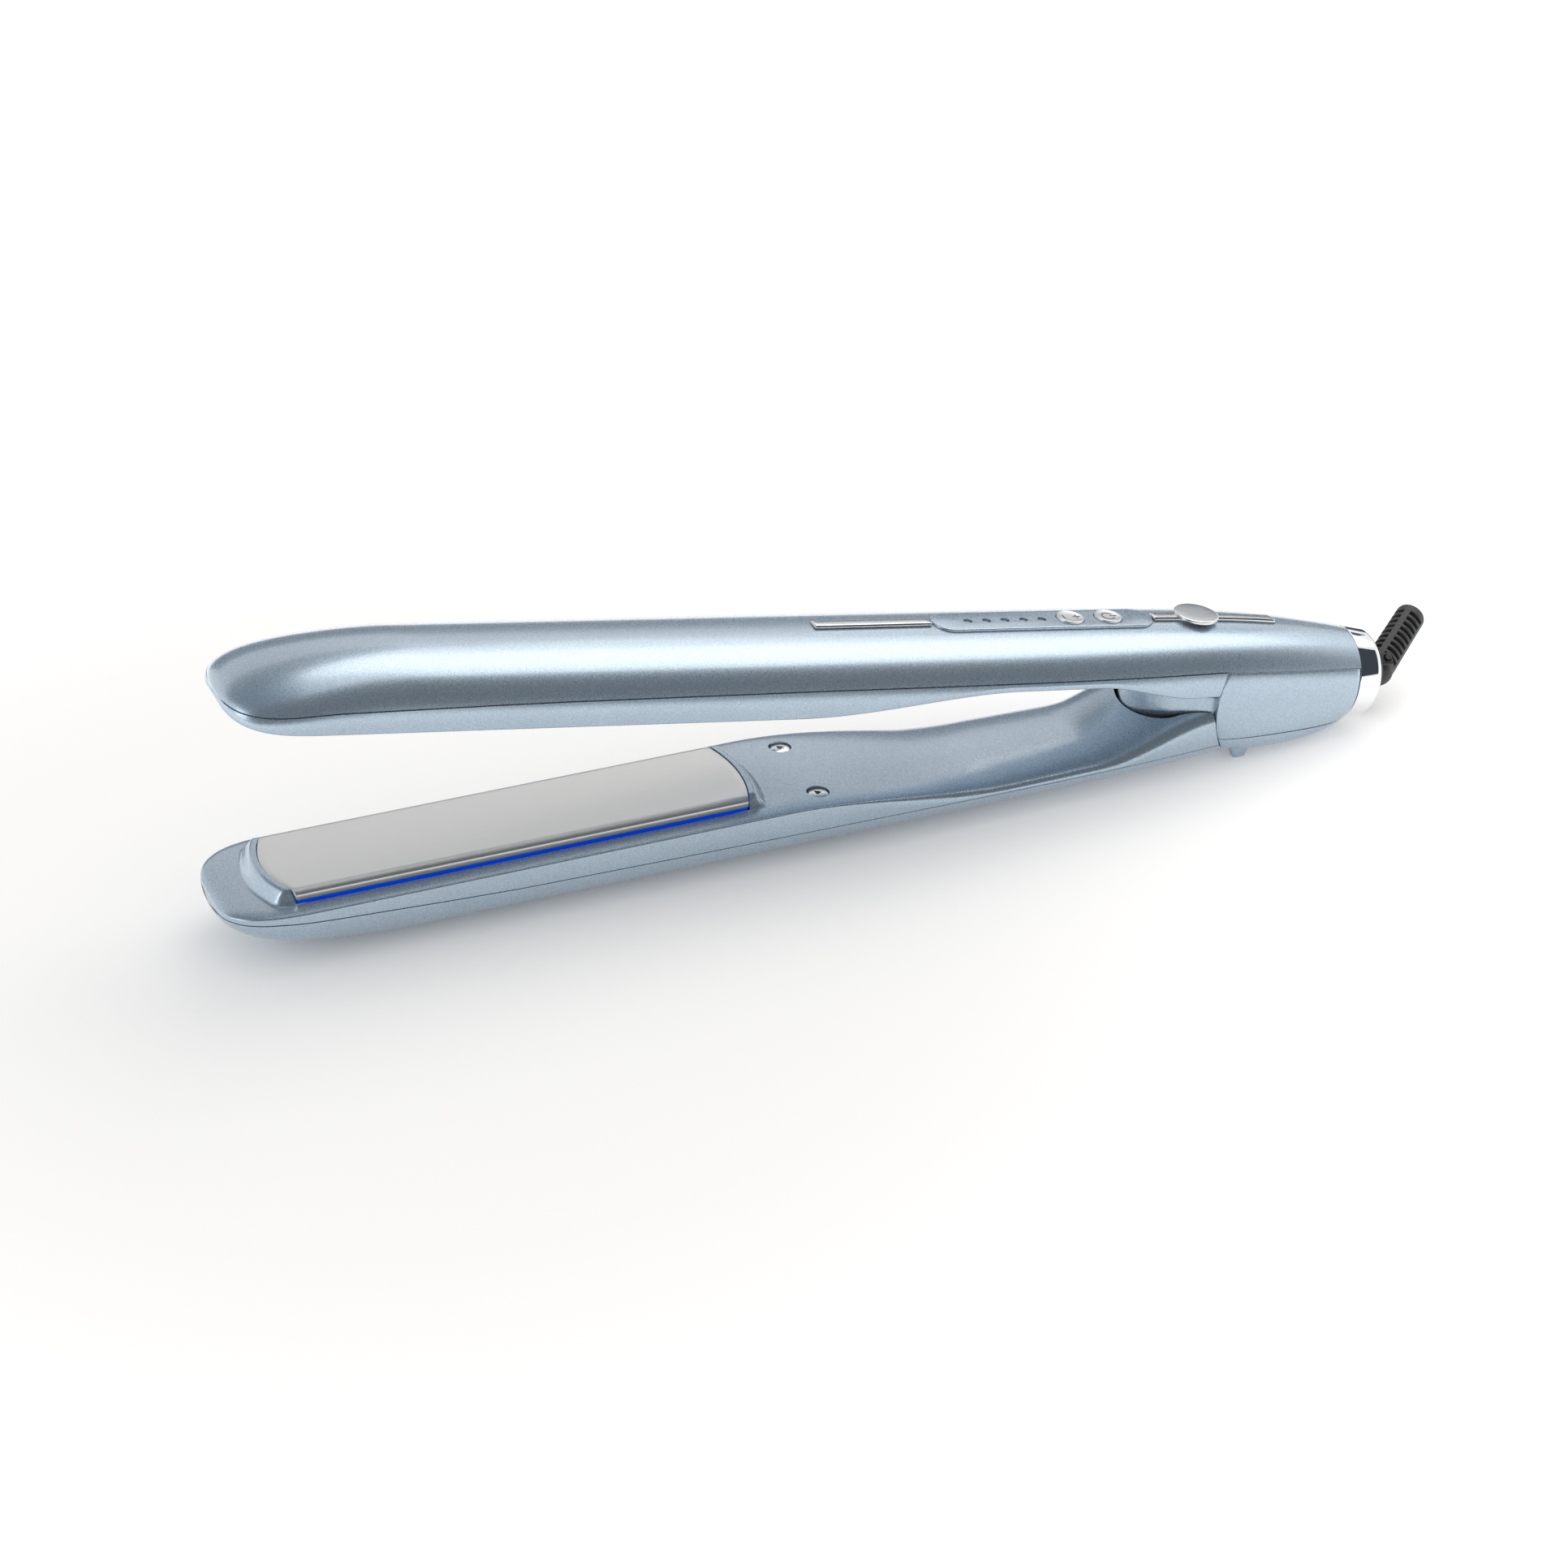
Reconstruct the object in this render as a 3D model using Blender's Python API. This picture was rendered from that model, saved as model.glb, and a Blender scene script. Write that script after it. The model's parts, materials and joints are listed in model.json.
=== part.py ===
"""Hair straightener with two floating plates, a sprung arm, a sliding lock and a swivel cord outlet.

Each arm is drawn in its own frame, with the hinge axis at the origin, the seam between the closed
arms at z = 0 and the tip towards -X. The lower arm's frame lies level, and the upper arm's frame is
turned about the hinge by the opening angle.
"""

import math

import bmesh
import bpy

MM = 0.001

# Heating plates
PLATE_LENGTH = 110 * MM
PLATE_WIDTH = 28 * MM
PLATE_THICKNESS = 1.3 * MM
PLATE_EDGE_ROUND = 0.5 * MM
PLATE_REAR = 141.5 * MM
PLATE_TIP_BOW = 4.0 * MM
PLATE_REAR_BOW = 2.5 * MM
PLATE_PROUD = 2.9 * MM
PLATE_AIR = 0.4 * MM
PLATE_FLOAT = 0.8 * MM
CARRIER_FLANGE = 1.7 * MM
CARRIER_DEPTH = 5.8 * MM
CARRIER_TUB_WIDTH = 18 * MM
CARRIER_WALL = 1.5 * MM
CARRIER_TUB_INSET = 16 * MM
CARRIER_TAB = 1.6 * MM
CARRIER_TAB_THICKNESS = 1.3 * MM
HEATER_WIDTH = 9 * MM
HEATER_END_ROOM = 1.5 * MM
FUSE_RADIUS = 1.1 * MM
FUSE_LENGTH = 12 * MM
SPRING_STRIP = 0.6 * MM
SPRING_WIDTH = 6 * MM
SPRING_LENGTH = 50 * MM

# Arms
ARM_HALF_WIDTH = 18.9 * MM
ARM_DEPTH = 16.0 * MM
ARM_WALL = 2.0 * MM
NOSE_REACH = 17.2 * MM
NOSE_TAPER = 23.9 * MM
NOSE_PLAN_POWER = 3.7
NOSE_FALL = 44 * MM
NOSE_FALL_POWER = 1.75
NOSE_CURL = 20.4 * MM
NOSE_CURL_POWER = 3.3
NOSE_HEIGHT = 3.9 * MM
NOSE_WALL = 4.5 * MM
WAIST_X = -125 * MM
BELLY_END_X = -60 * MM
OUTER_POWER = 2.4
HOUSING_BOX = 4.0
RIM_POWER = 8.0
NECK_POWER = 2.6
LOWER_RIM = 0.3 * MM
UPPER_RIM = 0.8 * MM
RIM_SHOULDER = 1.6 * MM
NECK_SHOULDER = 4.0 * MM
LOWER_SCOOP = 5.0 * MM
UPPER_SCOOP = 5.6 * MM
SCOOP_FRONT_X = -132 * MM
SCOOP_DEEP_X = -74 * MM
SCOOP_REAR_X = -47 * MM
SCOOP_END_X = -22 * MM
LIP_FRONT_X = -40 * MM
LIP_END_X = -20.5 * MM
SIDE_MIDDLE = 2.0 * MM
UPPER_LEDGE = 3.4 * MM
LEDGE_MARGIN = 1.1 * MM
LOWER_PARTING_NOSE = 0.344 * ARM_DEPTH
LOWER_PARTING_HINGE = 0.569 * ARM_DEPTH
UPPER_PARTING_NOSE = 0.41 * ARM_DEPTH
UPPER_PARTING_HINGE = 0.513 * ARM_DEPTH
PARTING_RING = 0.363 * ARM_DEPTH
RIB_WIDTH = 2.6 * MM
RIB_INSET = 1.5 * MM
SCREW_X = -122.6 * MM
SCREW_Y = ARM_HALF_WIDTH - 7.1 * MM
SCREW_HEAD_RADIUS = 2.5 * MM
SCREW_HEAD_HEIGHT = 0.9 * MM
SCREW_SHANK_RADIUS = 1.25 * MM
SCREW_SHANK_LENGTH = 6.5 * MM
SCREW_RECESS = 0.5 * MM
SCREW_SINK = 0.2 * MM
POST_RADIUS = 3.4 * MM
POST_COVER = 0.8 * MM

# Hinge
OPEN_ANGLE = math.radians(9.9)
PANEL_RADIUS = 18.7 * MM
LIP_RISE = 3.2 * MM
PIN_RADIUS = 2.0 * MM
PIN_HALF_LENGTH = 9.4 * MM
LUG_EYE_RADIUS = 5.0 * MM
LUG_THICKNESS = 6.0 * MM
LUG_FOOT_X = -64 * MM
LUG_FOOT_REAR_X = -40 * MM
LUG_FOOT_HEIGHT = 5.2 * MM
LUG_Y = -2.0 * MM
BLOCK_FRONT_X = -44 * MM
BLOCK_REAR_X = 8.0 * MM
BLOCK_NOSE_HALF = 7.5 * MM
BLOCK_CORNER = 2.5 * MM
BLOCK_RAKE = 8.5 * MM
BLOCK_FRONT_HALF = 10.5 * MM
BLOCK_BOSS_HALF = 14.9 * MM
BLOCK_TOP_HALF = 10.0 * MM
BLOCK_BOSS_KEEL = 2.0 * MM
BLOCK_BOSS_BEND = 1.5 * MM
BLOCK_BOSS_DROP = 7.5 * MM
BLOCK_TOP = 7.6 * MM
BLOCK_REAR_HALF = 9.4 * MM
BLOCK_REAR_DROP = 6.5 * MM
BLOCK_FRONT_WALL = 9.5 * MM
BLOCK_REAR_WALL = 2.0 * MM
BLOCK_BRIDGE = 1.8 * MM
SPRING_WIRE_RADIUS = 0.5 * MM
SPRING_COIL_RADIUS = 3.0 * MM
SPRING_TURNS = 3
SPRING_PITCH = 1.2 * MM
PANEL_BOTTOM_FRONT = 0.6375 * ARM_DEPTH
PANEL_BOTTOM_REAR = 0.5125 * ARM_DEPTH
FOOT_Y = 10.5 * MM
FOOT_FRONT_X = -11.6 * MM
FOOT_LENGTH = 5.4 * MM
FOOT_WIDTH = 3.0 * MM
FOOT_SLOPE = 1.6 * MM

# Cord outlet
RING_X = 24.3 * MM
RING_RADIUS = 11.7 * MM
RING_LENGTH = 7.4 * MM
RING_ROUND = 2.2 * MM
RING_TAPER = 0.7 * MM
RING_BORE = 8.4 * MM
BALL_RADIUS = 4.2 * MM
BALL_BEHIND_RING_FRONT = 12.0 * MM
CUP_RADIUS = 8.0 * MM
CUP_RIM_RADIUS = 6.4 * MM
CUP_FLANGE = 1.1 * MM
CUP_REACH = -1.0 * MM
CUP_FLANGE_LENGTH = 2.0 * MM
CUP_EAR_WIDTH = 4.8 * MM
CUP_EAR_REACH = 2.0 * MM
CUP_WIRE_HOLE = 2.2 * MM
TILT_PIN_RADIUS = 0.8 * MM
SWIVEL_TURN = math.radians(34.3)
RELIEF_TILT = math.radians(52)
RELIEF_NECK_RADIUS = 2.5 * MM
RELIEF_NECK_END = 4.6 * MM
RELIEF_RADIUS = 3.9 * MM
RELIEF_TIP_RADIUS = 3.4 * MM
RELIEF_BORE = 1.9 * MM
RELIEF_RIBS = 12
RELIEF_RIB_PITCH = 1.08 * MM
RELIEF_GROOVE = 0.7 * MM
RELIEF_COLLAR = 1.3 * MM

# Controls on the top of the upper arm
TRIM_FRONT_X = -123.6 * MM
TRIM_LENGTH = 30.4 * MM
TRIM_WIDTH = 3.2 * MM
TRIM_PROUD = 0.9 * MM
PAD_FRONT_X = -92.4 * MM
PAD_LENGTH = 59.6 * MM
PAD_WIDTH = 9.4 * MM
PAD_PROUD = 0.5 * MM
SEAT_DEPTH = 0.8 * MM
LED_FIRST_X = -82.8 * MM
LED_STEP = 5.0 * MM
LED_COUNT = 5
LED_RADIUS = 0.8 * MM
LED_BAR_HEIGHT = 1.2 * MM
BUTTON_RADIUS = 3.4 * MM
BUTTON_PROUD = 0.6 * MM
BUTTON_FLANGE = 0.7 * MM
BUTTON_FLANGE_HEIGHT = 0.8 * MM
BUTTON_TRAVEL = 0.5 * MM
MINUS_PLUS_X = -55.1 * MM
POWER_X = -44.7 * MM
BOARD_FRONT_X = -94 * MM
BOARD_LENGTH = 58 * MM
BOARD_THICKNESS = 1.2 * MM
BOARD_TOP = ARM_DEPTH - 5.6 * MM
SWITCH_SIZE = 4.0 * MM
RAIL_FRONT_X = -32.4 * MM
RAIL_LENGTH = 34.4 * MM
KNOB_X = -20.1 * MM
KNOB_RADIUS = 5.6 * MM
KNOB_HEIGHT = 0.9 * MM
KNOB_STEM_RADIUS = 0.8 * MM
LOCK_TRAVEL = 5.0 * MM
LOCK_PLATE_TOP = ARM_DEPTH - 3.8 * MM
LOCK_PLATE_THICKNESS = 1.3 * MM
LOCK_PLATE_WIDTH = 7.0 * MM
LOCK_LEG_X = -33.0 * MM
LOCK_LEG_THICKNESS = 1.8 * MM
LOCK_HOOK_LENGTH = 3.8 * MM
LOCK_HOOK_BOTTOM = 4.0 * MM
LOCK_HOOK_THICKNESS = 1.3 * MM
LOCK_HOOK_WIDTH = 4.0 * MM
CATCH_CLEARANCE = 0.4 * MM
CATCH_THICKNESS = 1.3 * MM
CATCH_REACH = 3.6 * MM
CATCH_POST = 3.4 * MM

# Clearances
SEAT_GAP = 0.3 * MM
PART_GAP = 0.3 * MM
TURN_GAP = 0.4 * MM
FACET_ROOM = 0.3 * MM
OVERCUT = 3.0 * MM

# Facets
OUTER_FACETS = 14
INNER_FACETS = 7
ROUND_FACETS = 20
SMALL_FACETS = 12

PLATE_TIP_X = -(PLATE_REAR + PLATE_LENGTH)
PLATE_REAR_X = -PLATE_REAR
PLATE_MID_X = (PLATE_TIP_X + PLATE_REAR_X) / 2
TIP_X = PLATE_TIP_X - NOSE_REACH
BALL_X = RING_X + BALL_BEHIND_RING_FRONT
RECESS_ENDS = RIB_WIDTH + 4 * TURN_GAP
RECESS_SIDES = 2 * TURN_GAP
RELIEF_END = RELIEF_NECK_END + 2 * RELIEF_COLLAR + RELIEF_RIBS * RELIEF_RIB_PITCH
LOWER, UPPER = -1, 1


def smooth_step(value):
    value = min(max(value, 0.0), 1.0)
    return value * value * (3 - 2 * value)


def nose_curve(x, length, power):
    share = min(max((TIP_X + length - x) / length, 0.0), 1.0)
    return (1 - share ** power) ** (1 / power)


def rear_share(x, start):
    return max((x - start) / (RING_X - start), 0.0) ** 3.5


def half_width(x):
    wide = ARM_HALF_WIDTH * nose_curve(x, NOSE_TAPER, NOSE_PLAN_POWER)
    return wide - (ARM_HALF_WIDTH - RING_RADIUS) * rear_share(x, WAIST_X)


def depth(x):
    deep = NOSE_HEIGHT + (ARM_DEPTH - NOSE_HEIGHT) * nose_curve(x, NOSE_FALL, NOSE_FALL_POWER)
    return deep - (ARM_DEPTH - RING_RADIUS) * rear_share(x, BELLY_END_X)


def outer_power(x):
    return OUTER_POWER - (OUTER_POWER - 2.0) * smooth_step((x + PANEL_RADIUS) / (RING_X + PANEL_RADIUS))


def scoop_fall(x):
    return smooth_step((x - SCOOP_FRONT_X) / (SCOOP_DEEP_X - SCOOP_FRONT_X))


def inner_face(x, arm):
    """Distance from the seam to an arm's inner face, counted towards that arm's back."""
    rise = smooth_step((x - SCOOP_REAR_X) / (SCOOP_END_X - SCOOP_REAR_X))
    face = RIM[arm] + (SCOOP[arm] - RIM[arm]) * scoop_fall(x) + (REAR_FACE[arm] - SCOOP[arm]) * rise
    return NOSE_HEIGHT - (NOSE_HEIGHT - face) * nose_curve(x, NOSE_CURL, NOSE_CURL_POWER)


def parting(x, arm):
    """Height of the line where an arm's two shells meet."""
    nose, rear = PARTING[arm]
    if x < -PANEL_RADIUS:
        return nose + (rear - nose) * (x - TIP_X) / (-PANEL_RADIUS - TIP_X)
    return rear + (PARTING_RING - rear) * (x + PANEL_RADIUS) / (RING_X + PANEL_RADIUS)


def wall_half_width(x, height):
    """Half width of the space inside an arm at one height, less room for the facets."""
    share = height / (depth(x) - ARM_WALL)
    power = outer_power(x)
    return (half_width(x) - ARM_WALL) * (1 - share ** power) ** (1 / power) - FACET_ROOM


def super_arc(half, height, power, facets, start=0.0):
    points = []
    for step in range(facets + 1):
        angle = start + (math.pi - 2 * start) * step / facets
        across = math.copysign(abs(math.cos(angle)) ** (2 / power), math.cos(angle))
        rise = abs(math.sin(angle)) ** (2 / power)
        points.append((half * across, height * rise))
    return points


def arm_ring(x, arm, inset):
    """Section of an arm: a round back, and an inner face with rounded edges that widen at the neck."""
    half = half_width(x) - inset
    back = depth(x) - inset
    face = inner_face(x, arm) + inset
    neck = 0.0
    if arm == LOWER:
        neck = scoop_fall(x) * (1 - smooth_step((x - LIP_FRONT_X) / (LIP_END_X - LIP_FRONT_X)))
    edge = min(face + RIM_SHOULDER + (NECK_SHOULDER - RIM_SHOULDER) * neck, (face + back) / 2)
    power = outer_power(x)
    middle = min(SIDE_MIDDLE, back / 2)
    start = math.asin(max((edge - middle) / (back - middle), 0.0) ** (power / 2))
    outer = super_arc(half, back - middle, power, OUTER_FACETS, start)
    edge_power = RIM_POWER + (NECK_POWER - RIM_POWER) * neck
    inner = super_arc(outer[0][0], edge - face, edge_power, INNER_FACETS)[1:-1]
    ring = [(x, y, arm * (middle + z)) for y, z in outer]
    ring += [(x, y, arm * (edge - z)) for y, z in reversed(inner)]
    return ring


def housing_ring(x, inset):
    half = half_width(x) - inset
    back = depth(x) - inset
    share = min(max((x + PANEL_RADIUS) / (RING_X + PANEL_RADIUS), 0.0), 1.0)
    square = outer_power(x) + HOUSING_BOX * math.sin(math.pi * share)
    upper = super_arc(half, back, outer_power(x), OUTER_FACETS)
    lower = [(y, -z) for y, z in reversed(super_arc(half, back, square, OUTER_FACETS))][1:-1]
    return [(x, y, z) for y, z in upper + lower]


def nose_stations(start):
    shares = (0.009, 0.035, 0.08, 0.14, 0.22, 0.32, 0.46, 0.66, 1.0)
    return [TIP_X + NOSE_FALL * share for share in shares if NOSE_FALL * share > start]


def spread(first, last, count):
    return [first + (last - first) * step / (count - 1) for step in range(count)]


def neck_stations():
    return spread(SCOOP_FRONT_X, SCOOP_DEEP_X, 7) + spread(SCOOP_REAR_X, LIP_END_X, 8)


def loft(rings):
    mesh = bmesh.new()
    rows = [[mesh.verts.new(point) for point in ring] for ring in rings]
    for row, following in zip(rows, rows[1:]):
        for index in range(len(row)):
            turn = (index + 1) % len(row)
            mesh.faces.new((row[index], row[turn], following[turn], following[index]))
    mesh.faces.new(rows[0])
    mesh.faces.new(list(reversed(rows[-1])))
    bmesh.ops.recalc_face_normals(mesh, faces=mesh.faces)
    return mesh


def prism(outline, low, high, axis):
    """Solid of an outline drawn square to an axis: x and z for Y, x and y for Z, y and z for X."""
    places = {"X": lambda u, v, w: (w, u, v), "Y": lambda u, v, w: (u, w, v), "Z": lambda u, v, w: (u, v, w)}
    return loft([[places[axis](u, v, end) for u, v in outline] for end in (low, high)])


def box(x0, x1, y0, y1, z0, z1):
    return prism([(x0, y0), (x1, y0), (x1, y1), (x0, y1)], z0, z1, "Z")


def circle(radius, facets, u=0.0, v=0.0):
    turns = [2 * math.pi * step / facets for step in range(facets)]
    return [(u + radius * math.cos(turn), v + radius * math.sin(turn)) for turn in turns]


def stadium(x0, x1, half, facets):
    angles = [math.pi * step / facets - math.pi / 2 for step in range(facets + 1)]
    rear = [(x1 - half + half * math.cos(turn), half * math.sin(turn)) for turn in angles]
    return rear + [(x0 + half - half * math.cos(turn), -half * math.sin(turn)) for turn in angles]


def lathe(profile, facets):
    """Tube about X through a closed profile of (x, radius) points."""
    mesh = bmesh.new()
    rows = []
    for x, radius in profile:
        rows.append([mesh.verts.new((x, y, z)) for y, z in circle(radius, facets)])
    for row, following in zip(rows, rows[1:] + rows[:1]):
        for index in range(facets):
            turn = (index + 1) % facets
            mesh.faces.new((row[index], row[turn], following[turn], following[index]))
    bmesh.ops.recalc_face_normals(mesh, faces=mesh.faces)
    return mesh


def sphere_points(centre, radius, start, end, count):
    angles = spread(start, end, count)
    return [(centre - radius * math.cos(turn), radius * math.sin(turn)) for turn in angles]


def make_material(name, color, roughness, metallic):
    material = bpy.data.materials.new(name)
    material.use_nodes = True
    shader = material.node_tree.nodes["Principled BSDF"]
    shader.inputs["Base Color"].default_value = (*color, 1.0)
    shader.inputs["Roughness"].default_value = roughness
    shader.inputs["Metallic"].default_value = metallic
    return material


def make_frame(name, parent, place, turn=(0.0, 0.0, 0.0)):
    frame = bpy.data.objects.new(name, None)
    frame.parent = parent
    frame.location = place
    frame.rotation_euler = turn
    bpy.context.collection.objects.link(frame)
    return frame


def make_piece(name, mesh, frame, material, place=(0.0, 0.0, 0.0), smooth=None):
    data = bpy.data.meshes.new(name)
    mesh.to_mesh(data)
    mesh.free()
    data.materials.append(material)
    if smooth is not None:
        data.shade_smooth()
        data.set_sharp_from_angle(angle=smooth)
    piece = bpy.data.objects.new(name, data)
    piece.parent = frame
    piece.location = place
    bpy.context.collection.objects.link(piece)
    return piece


def shape_with(piece, mesh, operation="DIFFERENCE", place=(0.0, 0.0, 0.0), frame=None):
    """Cut a piece with a tool solid, join the solid to it, or keep what both share."""
    name = f"{piece.name}.tool{len(piece.modifiers) + 1}"
    data = bpy.data.meshes.new(name)
    mesh.to_mesh(data)
    mesh.free()
    tool = bpy.data.objects.new(name, data)
    tool.parent = frame or piece.parent
    tool.location = place
    tool.hide_render = True
    tool.display_type = "WIRE"
    bpy.context.collection.objects.link(tool)
    modifier = piece.modifiers.new(name, "BOOLEAN")
    modifier.operation = operation
    modifier.solver = "EXACT"
    modifier.object = tool


def cylinder(radius, low, high, axis, facets=SMALL_FACETS, u=0.0, v=0.0):
    return prism(circle(radius, facets, u, v), low, high, axis)


def plate_outline(ends, sides):
    """Plan of a plate with its two bowed ends, grown by a margin at the ends and at the sides."""
    half = PLATE_WIDTH / 2 + sides
    points = []
    for y in spread(-half, half, 9):
        bow = 1 - (y / half) ** 2
        points.append((PLATE_REAR_X + ends + PLATE_REAR_BOW * bow, y))
    for y in spread(half, -half, 9):
        bow = 1 - (y / half) ** 2
        points.append((PLATE_TIP_X - ends - PLATE_TIP_BOW * bow, y))
    return points


def end_rib_outline(x, direction, bow):
    """Plan of the raised rib that follows a plate's bowed end."""
    half = PLATE_WIDTH / 2 - RIB_INSET
    inner = x + direction * 2 * TURN_GAP
    near = [(inner + direction * bow * (1 - (y / half) ** 2), y) for y in spread(-half, half, 9)]
    far = [(u + direction * RIB_WIDTH, v) for u, v in reversed(near)]
    return near + far


for existing in list(bpy.data.objects):
    bpy.data.objects.remove(existing, do_unlink=True)

PAINT = make_material("pearl_blue_paint", (0.42, 0.50, 0.60), 0.32, 0.45)
PLATE_METAL = make_material("coated_plate", (0.62, 0.62, 0.63), 0.34, 0.9)
BLUE_RESIN = make_material("blue_resin", (0.03, 0.20, 0.75), 0.35, 0.0)
CHROME = make_material("chrome", (0.86, 0.87, 0.88), 0.08, 1.0)
SATIN_CHROME = make_material("satin_chrome", (0.75, 0.76, 0.78), 0.3, 1.0)
SILVER_KEY = make_material("silver_key", (0.72, 0.74, 0.77), 0.35, 0.6)
STEEL = make_material("steel", (0.6, 0.6, 0.61), 0.32, 1.0)
DARK_NYLON = make_material("dark_nylon", (0.07, 0.08, 0.09), 0.55, 0.0)
BLACK_RUBBER = make_material("black_rubber", (0.02, 0.02, 0.022), 0.6, 0.0)
CERAMIC = make_material("ceramic", (0.82, 0.81, 0.78), 0.6, 0.0)
CLEAR_GUIDE = make_material("light_guide", (0.85, 0.9, 0.95), 0.15, 0.0)
BOARD_GREEN = make_material("circuit_board", (0.05, 0.25, 0.12), 0.5, 0.0)

# The part stands level: the belly of the lower arm and the two feet touch z = 0. The origin is at the
# middle of the length, from the tip to the far end of the strain relief.
relief_reach = RELIEF_END * math.cos(RELIEF_TILT) + RELIEF_TIP_RADIUS * math.sin(RELIEF_TILT)
relief_side = RELIEF_END * math.sin(RELIEF_TILT) + RELIEF_TIP_RADIUS * math.cos(RELIEF_TILT)
relief_lift = relief_side * math.sin(SWIVEL_TURN)
REAR_REACH = (BALL_X + relief_reach) * math.cos(OPEN_ANGLE) + relief_lift * math.sin(OPEN_ANGLE)
HINGE_X = -(TIP_X + REAR_REACH) / 2
HINGE_Z = ARM_DEPTH

level = make_frame("level_frame", None, (HINGE_X, 0.0, HINGE_Z))
lower = make_frame("lower_arm_frame", level, (0.0, 0.0, 0.0))
upper = make_frame("upper_arm_frame", level, (0.0, 0.0, 0.0), (0.0, OPEN_ANGLE, 0.0))

REAR_FACE = {LOWER: -LIP_RISE, UPPER: LIP_RISE + TURN_GAP}
RIM = {LOWER: LOWER_RIM, UPPER: UPPER_RIM}
SCOOP = {LOWER: LOWER_SCOOP, UPPER: UPPER_SCOOP}
LEDGE = {LOWER: LOWER_RIM, UPPER: UPPER_LEDGE}
PARTING = {LOWER: (LOWER_PARTING_NOSE, LOWER_PARTING_HINGE), UPPER: (UPPER_PARTING_NOSE, UPPER_PARTING_HINGE)}
PLATE_FACE = {LOWER: PLATE_AIR / 2 - PLATE_PROUD, UPPER: PLATE_AIR / 2 + PLATE_PROUD}
FRAME = {LOWER: lower, UPPER: upper}
ARM_NAME = {LOWER: "lower", UPPER: "upper"}
REAR_END = {LOWER: -PANEL_RADIUS / 2, UPPER: RING_X - PART_GAP}
HOUSING_STATIONS = spread(-PANEL_RADIUS, RING_X - PART_GAP, 9)


def arm_stations(arm, start):
    """Places along an arm where its section is drawn."""
    rear = HOUSING_STATIONS if arm == UPPER else [-PANEL_RADIUS, REAR_END[LOWER]]
    return nose_stations(start) + neck_stations() + rear


def arm_solid(arm, inset):
    stations = arm_stations(arm, NOSE_WALL if inset else 0.0)
    if inset:
        stations[-1] = stations[-1] + OVERCUT
    return loft([arm_ring(x, arm, inset) for x in stations])


def beyond_parting(arm, outward):
    """Tool that takes away one side of an arm's parting line."""
    shift = PART_GAP / 2 if not outward else -PART_GAP / 2
    places = (TIP_X - 4 * OVERCUT, -PANEL_RADIUS, RING_X + 4 * OVERCUT)
    edge = [(x, arm * (parting(x, arm) + shift)) for x in places]
    far = arm * 3 * ARM_DEPTH * (1 if outward else -1)
    outline = edge + [(places[-1], far), (places[0], far)]
    return prism(outline, -2 * ARM_HALF_WIDTH, 2 * ARM_HALF_WIDTH, "Y")


def hinge_round(radius):
    return cylinder(radius, -2 * ARM_HALF_WIDTH, 2 * ARM_HALF_WIDTH, "Y", 2 * ROUND_FACETS)


def between(arm, low, high):
    """Two heights over the seam of an arm as z, the lower one first."""
    return sorted((arm * low, arm * high))


def make_shells(arm):
    """The outer and the inner moulding of one arm, with their screw posts and the plate's opening."""
    name = ARM_NAME[arm]
    outer = make_piece(f"{name}_outer_shell", arm_solid(arm, 0.0), FRAME[arm], PAINT, smooth=math.radians(40))
    shape_with(outer, arm_solid(arm, ARM_WALL))
    shape_with(outer, beyond_parting(arm, False))
    inner = make_piece(f"{name}_inner_shell", arm_solid(arm, 0.0), FRAME[arm], PAINT, smooth=math.radians(40))
    shape_with(inner, arm_solid(arm, ARM_WALL))
    shape_with(inner, beyond_parting(arm, True))
    if arm == LOWER:
        shape_with(outer, hinge_round(PANEL_RADIUS + TURN_GAP))
    shape_with(inner, hinge_round(PANEL_RADIUS + (TURN_GAP if arm == LOWER else PART_GAP)))
    if arm == UPPER:
        wide = 2 * ARM_HALF_WIDTH
        shape_with(inner, box(0.0, 2 * RING_X, -wide, wide, -ARM_DEPTH, ARM_DEPTH))
        ledge = plate_outline(RECESS_ENDS + LEDGE_MARGIN, RECESS_SIDES + LEDGE_MARGIN)
        shape_with(inner, prism(ledge, UPPER_RIM + ARM_WALL / 2, UPPER_LEDGE + ARM_WALL, "Z"), "UNION")
    window = plate_outline(TURN_GAP, TURN_GAP)
    shape_with(inner, prism(window, *between(arm, -ARM_DEPTH, ARM_DEPTH), "Z"))
    face = inner_face(SCREW_X, arm)
    post_low = inner_face(SCREW_X + POST_RADIUS, arm) + ARM_WALL + 2 * SEAT_GAP
    outer_share = (SCREW_Y + POST_RADIUS) / half_width(SCREW_X)
    post_high = depth(SCREW_X) * (1 - outer_share ** OUTER_POWER) ** (1 / OUTER_POWER) - POST_COVER
    for y in (-SCREW_Y, SCREW_Y):
        post = prism(circle(POST_RADIUS, SMALL_FACETS, SCREW_X, y), *between(arm, post_low, post_high), "Z")
        shape_with(outer, post, "UNION")
        hole = circle(SCREW_SHANK_RADIUS + SEAT_GAP, SMALL_FACETS, SCREW_X, y)
        reach = face + SCREW_SINK + SCREW_HEAD_HEIGHT + SCREW_SHANK_LENGTH + SEAT_GAP
        shape_with(outer, prism(hole, *between(arm, face, reach), "Z"))
        shape_with(inner, prism(hole, *between(arm, -ARM_DEPTH, ARM_DEPTH), "Z"))
        sink = circle(SCREW_HEAD_RADIUS + SEAT_GAP, SMALL_FACETS, SCREW_X, y)
        seat = face + SCREW_SINK + SCREW_HEAD_HEIGHT + SEAT_GAP
        shape_with(inner, prism(sink, *between(arm, -ARM_DEPTH, seat), "Z"))
        make_screw(f"{name}_screw_{'left' if y < 0 else 'right'}", arm, y, face + SCREW_SINK)
    return outer, inner


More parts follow.
